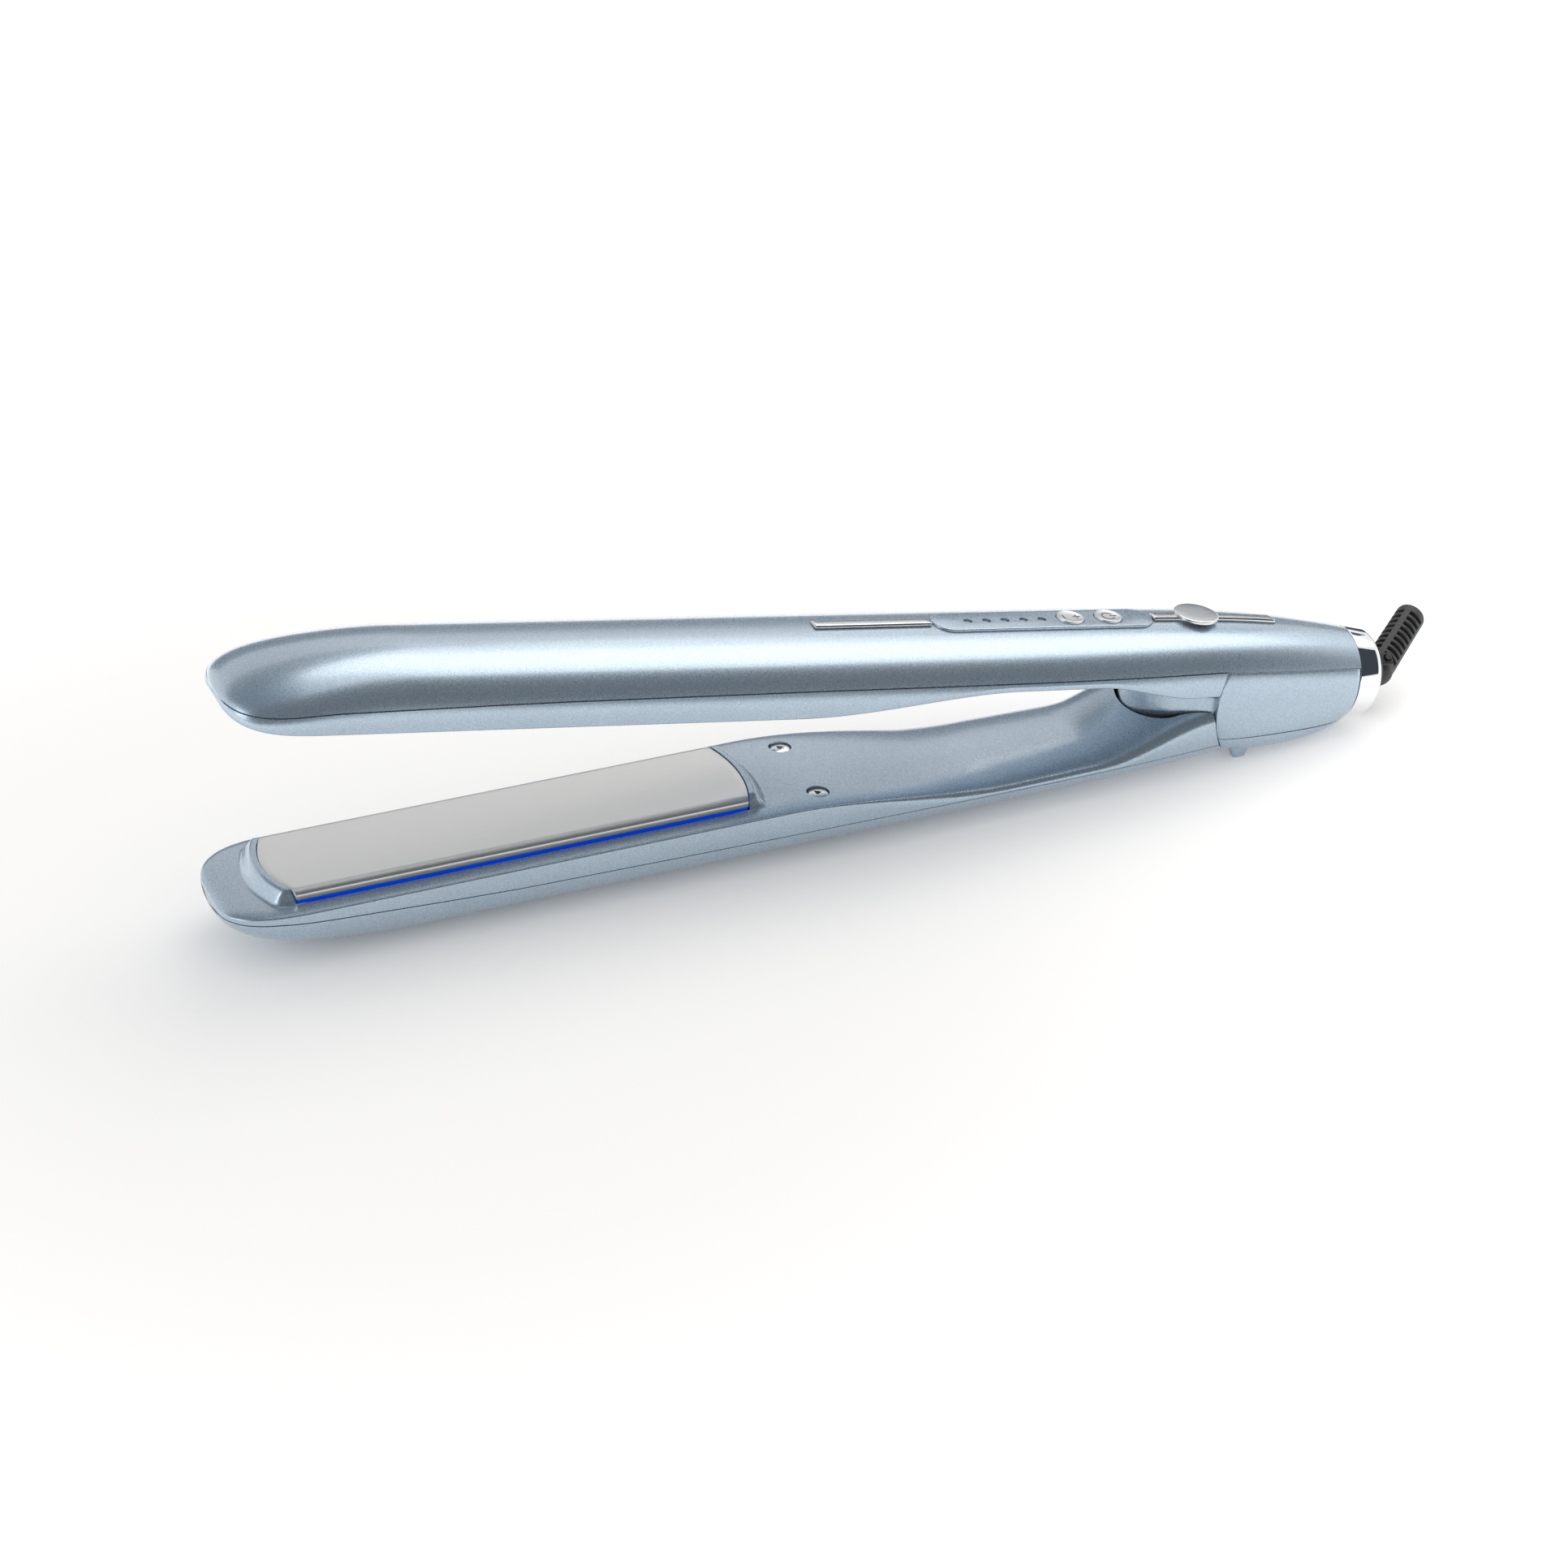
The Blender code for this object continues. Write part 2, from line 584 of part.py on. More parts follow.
def make_screw(name, arm, y, head):
    """Case screw with a three-cornered recess in its head."""
    top = head + SCREW_HEAD_HEIGHT
    screw = make_piece(
        name, prism(circle(SCREW_HEAD_RADIUS, SMALL_FACETS), *between(arm, head, top), "Z"),
        FRAME[arm], STEEL, (SCREW_X, y, 0.0), math.radians(40))
    shank = circle(SCREW_SHANK_RADIUS, SMALL_FACETS)
    shape_with(screw, prism(shank, *between(arm, top - SCREW_RECESS / 4, top + SCREW_SHANK_LENGTH), "Z"),
               "UNION", (SCREW_X, y, 0.0))
    recess = prism(circle(SCREW_SHANK_RADIUS, 3), *between(arm, head - OVERCUT, head + SCREW_RECESS), "Z")
    shape_with(screw, recess, place=(SCREW_X, y, 0.0))


def make_plate(arm):
    """Floating plate with its blue carrier, heater, thermal fuse and spring strip."""
    name = ARM_NAME[arm]
    outline_frame = make_frame(f"{name}_plate_frame", FRAME[arm], (PLATE_MID_X, 0.0, 0.0))
    back = (-PLATE_MID_X, 0.0, 0.0)
    face = PLATE_FACE[arm]
    plate = make_piece(
        f"{name}_plate", prism(plate_outline(0.0, 0.0), *between(arm, face, face + PLATE_THICKNESS), "Z"),
        outline_frame, PLATE_METAL, back)
    edge = plate.modifiers.new("edge_round", "BEVEL")
    edge.width = PLATE_EDGE_ROUND
    edge.segments = 2
    edge.limit_method = "ANGLE"
    carrier_top = face + PLATE_THICKNESS + SEAT_GAP
    carrier_end = carrier_top + CARRIER_DEPTH
    flange_end = carrier_top + CARRIER_FLANGE
    carrier = make_piece(
        f"{name}_plate_carrier", prism(plate_outline(0.0, 0.0), *between(arm, carrier_top, flange_end), "Z"),
        outline_frame, BLUE_RESIN, back)
    pocket = carrier_end - CARRIER_WALL
    tub_half = CARRIER_TUB_WIDTH / 2
    tub_height = between(arm, flange_end - CARRIER_FLANGE / 2, carrier_end)
    tub_ends = [PLATE_TIP_X + CARRIER_TUB_INSET, PLATE_REAR_X - CARRIER_TUB_INSET]
    shape_with(carrier, box(*tub_ends, -tub_half, tub_half, *tub_height), "UNION", back)
    tab_low = LEDGE[arm] + ARM_WALL + SEAT_GAP
    tab_height = between(arm, tab_low, tab_low + CARRIER_TAB_THICKNESS)
    tab_half = PLATE_WIDTH / 4
    tab_tip = PLATE_TIP_X - PLATE_TIP_BOW - TURN_GAP - CARRIER_TAB
    tab_rear = PLATE_REAR_X + PLATE_REAR_BOW + TURN_GAP + CARRIER_TAB
    inside = [tub_ends[0] + CARRIER_WALL, tub_ends[1] - CARRIER_WALL]
    for tab_ends in ((tab_tip, inside[0]), (inside[1], tab_rear)):
        shape_with(carrier, box(*tab_ends, -tab_half, tab_half, *tab_height), "UNION", back)
    room = tub_half - CARRIER_WALL
    shape_with(carrier, box(*inside, -room, room, *between(arm, carrier_top - OVERCUT, pocket)), place=back)
    heater_low = carrier_top + SEAT_GAP
    heater_end = [inside[0] + HEATER_END_ROOM, inside[1] - HEATER_END_ROOM]
    make_piece(
        f"{name}_heater",
        box(*heater_end, -HEATER_WIDTH / 2, HEATER_WIDTH / 2, *between(arm, heater_low, pocket - SEAT_GAP)),
        outline_frame, CERAMIC, back)
    fuse_y = HEATER_WIDTH / 2 + SEAT_GAP + FUSE_RADIUS
    fuse_z = arm * (pocket - SEAT_GAP - FUSE_RADIUS)
    make_piece(
        f"{name}_thermal_fuse",
        cylinder(FUSE_RADIUS, -FUSE_LENGTH / 2, FUSE_LENGTH / 2, "X", SMALL_FACETS, fuse_y, fuse_z),
        outline_frame, STEEL)
    crown = carrier_end + PLATE_FLOAT + SEAT_GAP
    floor = depth(PLATE_MID_X) - ARM_WALL - FACET_ROOM
    ends = [PLATE_MID_X - SPRING_LENGTH / 2, PLATE_MID_X + SPRING_LENGTH / 2]
    mids = [PLATE_MID_X - SPRING_LENGTH / 6, PLATE_MID_X + SPRING_LENGTH / 6]
    under = [(ends[0], floor), (mids[0], crown + SPRING_STRIP)]
    under += [(mids[1], crown + SPRING_STRIP), (ends[1], floor)]
    over = [(x, height - SPRING_STRIP) for x, height in reversed(under)]
    strip = prism([(x, arm * height) for x, height in under + over], -SPRING_WIDTH / 2, SPRING_WIDTH / 2, "Y")
    make_piece(f"{name}_plate_spring", strip, FRAME[arm], STEEL)


lower_outer, lower_inner = make_shells(LOWER)
upper_outer, upper_inner = make_shells(UPPER)
make_plate(LOWER)
make_plate(UPPER)

# The lower arm's ribs stand a little above its plate, and its rear end is an open channel for the hinge.
rib_top = PLATE_PROUD
for rib_x, rib_side, rib_bow in ((PLATE_TIP_X, -1, PLATE_TIP_BOW), (PLATE_REAR_X, 1, PLATE_REAR_BOW)):
    rib = prism(end_rib_outline(rib_x, rib_side, rib_bow), -LOWER_RIM - ARM_WALL / 2, rib_top, "Z")
    shape_with(lower_inner, rib, "UNION")
boss_rear_x = -PANEL_RADIUS - TURN_GAP
boss_top = REAR_FACE[UPPER] - SEAT_GAP


def boss_outline(z, grow, narrow):
    """Plan of the hinge block's boss at one height."""
    front = BLOCK_FRONT_X - grow + BLOCK_RAKE * (boss_top - z) / (boss_top + BLOCK_BOSS_DROP)
    side = [(front, BLOCK_NOSE_HALF - narrow, z)]
    side.append((front + BLOCK_CORNER, BLOCK_FRONT_HALF + grow - narrow, z))
    side.append((boss_rear_x + grow, BLOCK_BOSS_HALF + grow - narrow, z))
    return side + [(x, -y, z) for x, y, z in reversed(side)]


def boss_solid(top, bottom, grow):
    bend = boss_outline(-BLOCK_BOSS_BEND, grow, 0.0)
    return loft([boss_outline(top, grow, 0.0), bend, boss_outline(bottom, grow, BLOCK_BOSS_KEEL)])


shape_with(lower_inner, boss_solid(ARM_DEPTH, -BLOCK_BOSS_DROP - 2 * TURN_GAP, 2 * TURN_GAP))

# The upper arm's inner shell is open round the plate's end ribs and over the hinge block.
recess = plate_outline(RECESS_ENDS, RECESS_SIDES)
shape_with(upper_inner, prism(recess, -ARM_DEPTH, UPPER_LEDGE, "Z"))
window_half = BLOCK_TOP_HALF + SEAT_GAP
shape_with(upper_inner, box(BLOCK_FRONT_X - SEAT_GAP, 0.0, -window_half, window_half, -ARM_DEPTH, ARM_DEPTH))

# The hinge block carries the pin between two cheeks, and its boss closes the gap between the arms.
block = make_piece("hinge_block", boss_solid(boss_top, -BLOCK_BOSS_DROP, 0.0), upper, PAINT)
block_top = box(BLOCK_FRONT_X + BLOCK_CORNER, boss_rear_x, -BLOCK_TOP_HALF, BLOCK_TOP_HALF, 0.0, BLOCK_TOP)
shape_with(block, block_top, "UNION")
shape_with(block, box(boss_rear_x - OVERCUT, BLOCK_REAR_X, -BLOCK_REAR_HALF, BLOCK_REAR_HALF,
                      -BLOCK_REAR_DROP, BLOCK_TOP), "UNION")
slot_ends = [BLOCK_FRONT_X + BLOCK_FRONT_WALL, BLOCK_REAR_X - BLOCK_REAR_WALL]
slot_top = BLOCK_TOP - BLOCK_BRIDGE
lug_sides = [LUG_Y - LUG_THICKNESS / 2, LUG_Y + LUG_THICKNESS / 2]
coil_start = lug_sides[1] + SEAT_GAP + SPRING_WIRE_RADIUS
coil_end = coil_start + SPRING_TURNS * SPRING_PITCH
slot_sides = [lug_sides[0] - TURN_GAP, coil_end + SPRING_WIRE_RADIUS + SEAT_GAP]
shape_with(block, box(*slot_ends, *slot_sides, -ARM_DEPTH, slot_top))
catch_tip_x = LOCK_LEG_X + LOCK_LEG_THICKNESS + LOCK_TRAVEL + 1.5 * CATCH_CLEARANCE
catch_front_x = catch_tip_x + CATCH_REACH
catch_rear_x = catch_front_x + CATCH_POST
hook_window = [LOCK_LEG_X - OVERCUT, catch_rear_x + OVERCUT]
shape_with(block, box(*hook_window, *slot_sides, 0.0, ARM_DEPTH))
shape_with(block, cylinder(PIN_RADIUS + SEAT_GAP, -ARM_HALF_WIDTH, ARM_HALF_WIDTH, "Y"))
make_piece("hinge_pin", cylinder(PIN_RADIUS, -PIN_HALF_LENGTH, PIN_HALF_LENGTH, "Y"), upper, STEEL)

# The lower arm hangs on the pin by its lug, which also holds the catch for the lock.
lug_floor = ARM_WALL - depth(LUG_FOOT_REAR_X) + FACET_ROOM + SEAT_GAP
lug_back = lug_floor + LUG_FOOT_HEIGHT
catch_low = LOCK_HOOK_BOTTOM + LOCK_HOOK_THICKNESS + CATCH_CLEARANCE
catch_top = catch_low + CATCH_THICKNESS
eye = [(LUG_EYE_RADIUS * math.cos(turn), LUG_EYE_RADIUS * math.sin(turn))
       for turn in spread(math.radians(-100), math.radians(90), 12)]
lug_outline = [(LUG_FOOT_X, lug_floor), (LUG_FOOT_REAR_X, lug_floor)] + eye
lug_outline += [(catch_rear_x, LUG_EYE_RADIUS), (catch_rear_x, catch_top), (catch_tip_x, catch_top)]
lug_outline += [(catch_tip_x, catch_low), (catch_front_x, catch_low)]
lug_outline += [(catch_front_x, catch_low - LUG_EYE_RADIUS)]
lug_outline += [(slot_ends[0] + 2 * TURN_GAP, lug_back), (LUG_FOOT_X, lug_back)]
lug = make_piece("hinge_lug", prism(lug_outline, *lug_sides, "Y"), lower, DARK_NYLON)
shape_with(lug, cylinder(PIN_RADIUS + SEAT_GAP, -ARM_HALF_WIDTH, ARM_HALF_WIDTH, "Y"))

# Torsion spring wound on the pin beside the lug.
coil_steps = SPRING_TURNS * 12
coil = bpy.data.curves.new("hinge_spring", "CURVE")
coil.dimensions = "3D"
coil.bevel_depth = SPRING_WIRE_RADIUS
coil.bevel_resolution = 1
coil.use_fill_caps = True
wire = coil.splines.new("POLY")
wire.points.add(coil_steps)
for step, point in enumerate(wire.points):
    turn = 2 * math.pi * step / 12
    along = coil_start + (coil_end - coil_start) * step / coil_steps
    point.co = (SPRING_COIL_RADIUS * math.cos(turn), along, SPRING_COIL_RADIUS * math.sin(turn), 1.0)
coil.materials.append(STEEL)
spring = bpy.data.objects.new("hinge_spring", coil)
spring.parent = upper
bpy.context.collection.objects.link(spring)
print(f"hinge spring gap between turns {(SPRING_PITCH - 2 * SPRING_WIRE_RADIUS) / MM:.2f} mm")


def housing_solid(inset, over):
    stations = list(HOUSING_STATIONS)
    stations[0] -= OVERCUT + over
    stations[-1] += over
    return loft([housing_ring(x, inset) for x in stations])


def hinge_arc(start, end):
    """Points on the round joint in front of the side panels, between two heights."""
    angles = spread(math.pi - math.asin(start / PANEL_RADIUS), math.pi - math.asin(end / PANEL_RADIUS), 9)
    return [(PANEL_RADIUS * math.cos(turn), PANEL_RADIUS * math.sin(turn)) for turn in angles]


# Side panels and the bottom cover round the hinge.
panel_end = RING_X + OVERCUT
panel_outline = hinge_arc(UPPER_PARTING_HINGE - PART_GAP / 2, -PANEL_BOTTOM_FRONT)
panel_outline += [(panel_end, -PANEL_BOTTOM_REAR), (panel_end, PARTING_RING - PART_GAP / 2)]
for side, y_side in (("left", -1), ("right", 1)):
    panel = make_piece(f"side_panel_{side}", housing_solid(0.0, 0.0), upper, PAINT, smooth=math.radians(40))
    shape_with(panel, housing_solid(ARM_WALL, OVERCUT))
    sides = sorted((0.0, y_side * 2 * ARM_HALF_WIDTH))
    shape_with(panel, prism(panel_outline, *sides, "Y"), "INTERSECT")
cover_outline = hinge_arc(-PANEL_BOTTOM_FRONT - PART_GAP, -PANEL_RADIUS * 0.999)
cover_outline += [(0.0, -2 * ARM_DEPTH), (panel_end, -2 * ARM_DEPTH)]
cover_outline += [(panel_end, -PANEL_BOTTOM_REAR - PART_GAP)]
cover = make_piece("rear_bottom_cover", housing_solid(0.0, 0.0), upper, PAINT, smooth=math.radians(40))
shape_with(cover, housing_solid(ARM_WALL, OVERCUT))
shape_with(cover, prism(cover_outline, -2 * ARM_HALF_WIDTH, 2 * ARM_HALF_WIDTH, "Y"), "INTERSECT")
foot_rear_x = FOOT_FRONT_X + FOOT_LENGTH
foot_outline = [(FOOT_FRONT_X, 0.0), (foot_rear_x, 0.0), (foot_rear_x, -ARM_DEPTH / 2)]
foot_outline += [(foot_rear_x - FOOT_SLOPE, -HINGE_Z), (FOOT_FRONT_X + FOOT_SLOPE, -HINGE_Z)]
foot_outline += [(FOOT_FRONT_X, -ARM_DEPTH / 2)]
for side, foot_y in (("left", -FOOT_Y), ("right", FOOT_Y)):
    foot_block = prism(foot_outline, foot_y - FOOT_WIDTH / 2, foot_y + FOOT_WIDTH / 2, "Y")
    foot = make_piece(f"rest_foot_{side}", foot_block, level, PAINT)
    shape_with(foot, housing_solid(-SEAT_GAP, 0.0), frame=upper)

# Chrome ring at the rear end, the swivel cup that turns in it, and the strain relief that tilts in the cup.
ring_end = RING_X + RING_LENGTH
ring_profile = [(RING_X, RING_BORE), (RING_X, RING_RADIUS)]
for turn in spread(0.0, math.pi / 2, 6):
    fall = RING_TAPER + RING_ROUND * (1 - math.cos(turn))
    ring_profile.append((ring_end - RING_ROUND + RING_ROUND * math.sin(turn), RING_RADIUS - fall))
ring_profile.append((ring_end, RING_BORE))
make_piece("end_ring", lathe(ring_profile, 2 * ROUND_FACETS), upper, CHROME, smooth=math.radians(40))
swivel = make_frame("swivel_frame", upper, (BALL_X, 0.0, 0.0), (SWIVEL_TURN, 0.0, 0.0))
tilt = make_frame("tilt_frame", swivel, (0.0, 0.0, 0.0), (0.0, 0.0, RELIEF_TILT))
socket = BALL_RADIUS + SEAT_GAP
flange_rear = RING_X - BALL_X - SEAT_GAP
flange_front = flange_rear - CUP_FLANGE_LENGTH
cup_profile = [(flange_front, CUP_WIRE_HOLE), (flange_front, CUP_RADIUS + CUP_FLANGE)]
cup_profile += [(flange_rear, CUP_RADIUS + CUP_FLANGE), (flange_rear, CUP_RADIUS)]
cup_profile += [(ring_end - BALL_X, CUP_RADIUS), (CUP_REACH, CUP_RIM_RADIUS)]
socket_ends = [math.acos(-CUP_REACH / socket), math.asin(CUP_WIRE_HOLE / socket)]
cup_profile += sphere_points(0.0, socket, *socket_ends, 6)
cup = make_piece("swivel_cup", lathe(cup_profile, ROUND_FACETS), swivel, DARK_NYLON, smooth=math.radians(40))
ear_half = CUP_EAR_WIDTH / 2
ear_low = RELIEF_RADIUS + 2 * TURN_GAP
ear_high = CUP_RIM_RADIUS
for ear_z in ((ear_low, ear_high), (-ear_high, -ear_low)):
    shape_with(cup, box(CUP_REACH - CUP_EAR_REACH, CUP_EAR_REACH, -ear_half, ear_half, *ear_z), "UNION")
relief_profile = sphere_points(0.0, BALL_RADIUS, math.asin(RELIEF_BORE / BALL_RADIUS),
                               math.pi - math.asin(RELIEF_NECK_RADIUS / BALL_RADIUS), 9)
relief_profile += [(RELIEF_NECK_END, RELIEF_NECK_RADIUS), (RELIEF_NECK_END, RELIEF_RADIUS)]
rib_start = RELIEF_NECK_END + RELIEF_COLLAR
for rib in range(RELIEF_RIBS):
    rib_x = rib_start + rib * RELIEF_RIB_PITCH
    radius = RELIEF_RADIUS + (RELIEF_TIP_RADIUS - RELIEF_RADIUS) * rib / RELIEF_RIBS
    relief_profile += [(rib_x, radius), (rib_x, radius - RELIEF_GROOVE)]
    groove_end = rib_x + RELIEF_RIB_PITCH / 2
    relief_profile += [(groove_end, radius - RELIEF_GROOVE), (groove_end, radius)]
relief_profile += [(RELIEF_END, RELIEF_TIP_RADIUS), (RELIEF_END, RELIEF_BORE)]
relief_mesh = lathe(relief_profile, SMALL_FACETS)
relief = make_piece("strain_relief", relief_mesh, tilt, BLACK_RUBBER, smooth=math.radians(40))
pin_start = RELIEF_BORE + 2 * SEAT_GAP
for side, z_side in (("upper", 1), ("lower", -1)):
    bore_ends = sorted((z_side * (pin_start - SEAT_GAP), z_side * (CUP_RADIUS + OVERCUT)))
    shape_with(relief, cylinder(TILT_PIN_RADIUS + SEAT_GAP, *bore_ends, "Z", 10))
    shape_with(cup, cylinder(TILT_PIN_RADIUS + SEAT_GAP, *bore_ends, "Z", 10))
    pin_ends = sorted((z_side * pin_start, z_side * ear_high))
    make_piece(f"tilt_pin_{side}", cylinder(TILT_PIN_RADIUS, *pin_ends, "Z", 10), swivel, STEEL)


def top_strip(x0, x1, low, high):
    """Side outline of a strip that follows the crest of the upper arm."""
    places = spread(x0, x1, 7)
    return [(x, depth(x) + low) for x in places] + [(x, depth(x) + high) for x in reversed(places)]


def make_trim(name, x0, x1):
    """Satin chrome bar let into the crest of the upper arm."""
    half = TRIM_WIDTH / 2
    seat = top_strip(x0 - SEAT_GAP, x1 + SEAT_GAP, -SEAT_DEPTH, OVERCUT)
    shape_with(upper_outer, prism(seat, -half - SEAT_GAP, half + SEAT_GAP, "Y"))
    strip = top_strip(x0, x1, SEAT_GAP - SEAT_DEPTH, TRIM_PROUD)
    return make_piece(name, prism(strip, -half, half, "Y"), upper, SATIN_CHROME)


# Trim bar, control pad, light guide, keys and their board.
make_trim("trim_bar", TRIM_FRONT_X, TRIM_FRONT_X + TRIM_LENGTH)
pad_rear_x = PAD_FRONT_X + PAD_LENGTH
pad_half = PAD_WIDTH / 2
pad_low = depth(pad_rear_x) - SEAT_DEPTH + SEAT_GAP
pad_top = ARM_DEPTH + PAD_PROUD
pad_seat = stadium(PAD_FRONT_X - SEAT_GAP, pad_rear_x + SEAT_GAP, pad_half + SEAT_GAP, 10)
shape_with(upper_outer, prism(pad_seat, pad_low - SEAT_GAP, 2 * ARM_DEPTH, "Z"))
pad_block = prism(stadium(PAD_FRONT_X, pad_rear_x, pad_half, 10), pad_low, pad_top, "Z")
pad = make_piece("control_pad", pad_block, upper, PAINT)
led_last_x = LED_FIRST_X + LED_STEP * (LED_COUNT - 1)
guide_half = 2 * LED_RADIUS
guide_top = depth(LED_FIRST_X) - ARM_WALL - SEAT_GAP
guide_bar = box(LED_FIRST_X - guide_half, led_last_x + guide_half, -guide_half, guide_half,
                guide_top - LED_BAR_HEIGHT, guide_top)
guide = make_piece("led_light_guide", guide_bar, upper, CLEAR_GUIDE)
for led in range(LED_COUNT):
    led_x = LED_FIRST_X + LED_STEP * led
    pip = prism(circle(LED_RADIUS, 10, led_x), guide_top - LED_BAR_HEIGHT / 2, pad_top + SEAT_GAP, "Z")
    shape_with(guide, pip, "UNION")
    for holder in (pad, upper_outer):
        shape_with(holder, prism(circle(LED_RADIUS + SEAT_GAP, 10, led_x), 0.0, 2 * ARM_DEPTH, "Z"))
board_half = wall_half_width(BOARD_FRONT_X + BOARD_LENGTH, BOARD_TOP) - SEAT_GAP
board = box(BOARD_FRONT_X, BOARD_FRONT_X + BOARD_LENGTH, -board_half, board_half,
            BOARD_TOP - BOARD_THICKNESS, BOARD_TOP)
make_piece("control_board", board, upper, BOARD_GREEN)
for name, key_x in (("temperature", MINUS_PLUS_X), ("power", POWER_X)):
    flange_top = depth(key_x) - ARM_WALL - FACET_ROOM - SEAT_GAP
    key_low = flange_top - BUTTON_FLANGE_HEIGHT
    key_top = pad_top + BUTTON_PROUD
    key_cap = prism(circle(BUTTON_RADIUS, ROUND_FACETS), key_low, key_top, "Z")
    key = make_piece(f"{name}_button", key_cap, upper, SILVER_KEY, (key_x, 0.0, 0.0), math.radians(40))
    flange = prism(circle(BUTTON_RADIUS + BUTTON_FLANGE, ROUND_FACETS), key_low, flange_top, "Z")
    shape_with(key, flange, "UNION", (key_x, 0.0, 0.0))
    for holder in (pad, upper_outer):
        hole = prism(circle(BUTTON_RADIUS + SEAT_GAP, ROUND_FACETS, key_x), 0.0, 2 * ARM_DEPTH, "Z")
        shape_with(holder, hole)
    switch_top = key_low - BUTTON_TRAVEL - SEAT_GAP
    switch_half = SWITCH_SIZE / 2
    switch = box(-switch_half, switch_half, -switch_half, switch_half, BOARD_TOP + SEAT_GAP, switch_top)
    make_piece(f"{name}_switch", switch, upper, DARK_NYLON, (key_x, 0.0, 0.0))

# Lock: a knob on its rail, joined through a slot to the slide that carries the hook.
rail = make_trim("lock_rail", RAIL_FRONT_X, RAIL_FRONT_X + RAIL_LENGTH)
stem_room = KNOB_STEM_RADIUS + TURN_GAP
for holder in (rail, upper_outer):
    stem_slot = stadium(KNOB_X - stem_room, KNOB_X + LOCK_TRAVEL + stem_room, stem_room, 6)
    shape_with(holder, prism(stem_slot, 0.0, 2 * ARM_DEPTH, "Z"))
knob_low = depth(KNOB_X - KNOB_RADIUS) + TRIM_PROUD + SEAT_GAP
knob_top = knob_low + KNOB_HEIGHT
knob_disc = prism(circle(KNOB_RADIUS, 2 * ROUND_FACETS), knob_low, knob_top, "Z")
knob = make_piece("lock_knob", knob_disc, upper, SATIN_CHROME, (KNOB_X, 0.0, 0.0), math.radians(40))
stem_ends = [LOCK_PLATE_TOP + SEAT_GAP, knob_low + KNOB_HEIGHT / 2]
knob_stem = prism(circle(KNOB_STEM_RADIUS, SMALL_FACETS), *stem_ends, "Z")
shape_with(knob, knob_stem, "UNION", (KNOB_X, 0.0, 0.0))
plate_low = LOCK_PLATE_TOP - LOCK_PLATE_THICKNESS
plate_half = LOCK_PLATE_WIDTH / 2
slide_plate = box(LOCK_LEG_X - KNOB_X, plate_half, -plate_half, plate_half, plate_low, LOCK_PLATE_TOP)
slide = make_piece("lock_slide", slide_plate, upper, DARK_NYLON, (KNOB_X, 0.0, 0.0))
leg_end = LOCK_LEG_X + LOCK_LEG_THICKNESS
hook_end = leg_end + LOCK_HOOK_LENGTH
hook_top = LOCK_HOOK_BOTTOM + LOCK_HOOK_THICKNESS
leg_top = LOCK_PLATE_TOP - LOCK_PLATE_THICKNESS / 2
hook_outline = [(LOCK_LEG_X, LOCK_HOOK_BOTTOM), (hook_end, LOCK_HOOK_BOTTOM), (hook_end, hook_top)]
hook_outline += [(leg_end, hook_top), (leg_end, leg_top), (LOCK_LEG_X, leg_top)]
shape_with(slide, prism(hook_outline, -LOCK_HOOK_WIDTH / 2, LOCK_HOOK_WIDTH / 2, "Y"), "UNION")
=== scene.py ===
import json
import math

import bpy
from mathutils import Matrix, Vector


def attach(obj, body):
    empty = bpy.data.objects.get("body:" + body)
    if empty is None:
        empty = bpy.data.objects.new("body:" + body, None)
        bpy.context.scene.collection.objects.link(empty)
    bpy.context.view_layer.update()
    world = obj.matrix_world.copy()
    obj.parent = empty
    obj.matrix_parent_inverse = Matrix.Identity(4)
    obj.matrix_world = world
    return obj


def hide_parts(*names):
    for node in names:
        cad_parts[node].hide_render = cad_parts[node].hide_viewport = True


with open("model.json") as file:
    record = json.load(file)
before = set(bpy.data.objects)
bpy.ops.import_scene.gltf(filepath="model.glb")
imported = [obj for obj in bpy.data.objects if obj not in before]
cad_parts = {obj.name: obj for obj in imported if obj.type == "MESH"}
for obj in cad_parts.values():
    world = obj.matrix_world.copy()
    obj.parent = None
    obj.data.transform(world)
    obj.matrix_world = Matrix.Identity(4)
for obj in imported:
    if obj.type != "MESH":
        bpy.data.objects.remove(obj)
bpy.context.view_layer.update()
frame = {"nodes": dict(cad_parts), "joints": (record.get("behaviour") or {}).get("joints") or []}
bpy.context.scene.view_settings.view_transform = "Standard"
nodes = frame["nodes"]
MM = 0.001

# Back moulding of the lower arm, which the straightener lies on.
# It is injection-moulded plastic with a pearl metallic lacquer, thin-walled and open at the rear,
# where it ends in a hollow round that turns about the hinge housing.
arm_joint = next(joint for joint in frame["joints"] if joint["name"] == "arm_hinge")
hinge = Vector(arm_joint["pos_m"])
opening = math.radians(arm_joint["range_deg"][1])
lower_place = Matrix.Translation(hinge)
upper_place = lower_place @ Matrix.Rotation(opening, 4, "Y")
LOWER, UPPER = -1, 1
arm_place = {LOWER: lower_place, UPPER: upper_place}
arm_name = {LOWER: "lower", UPPER: "upper"}

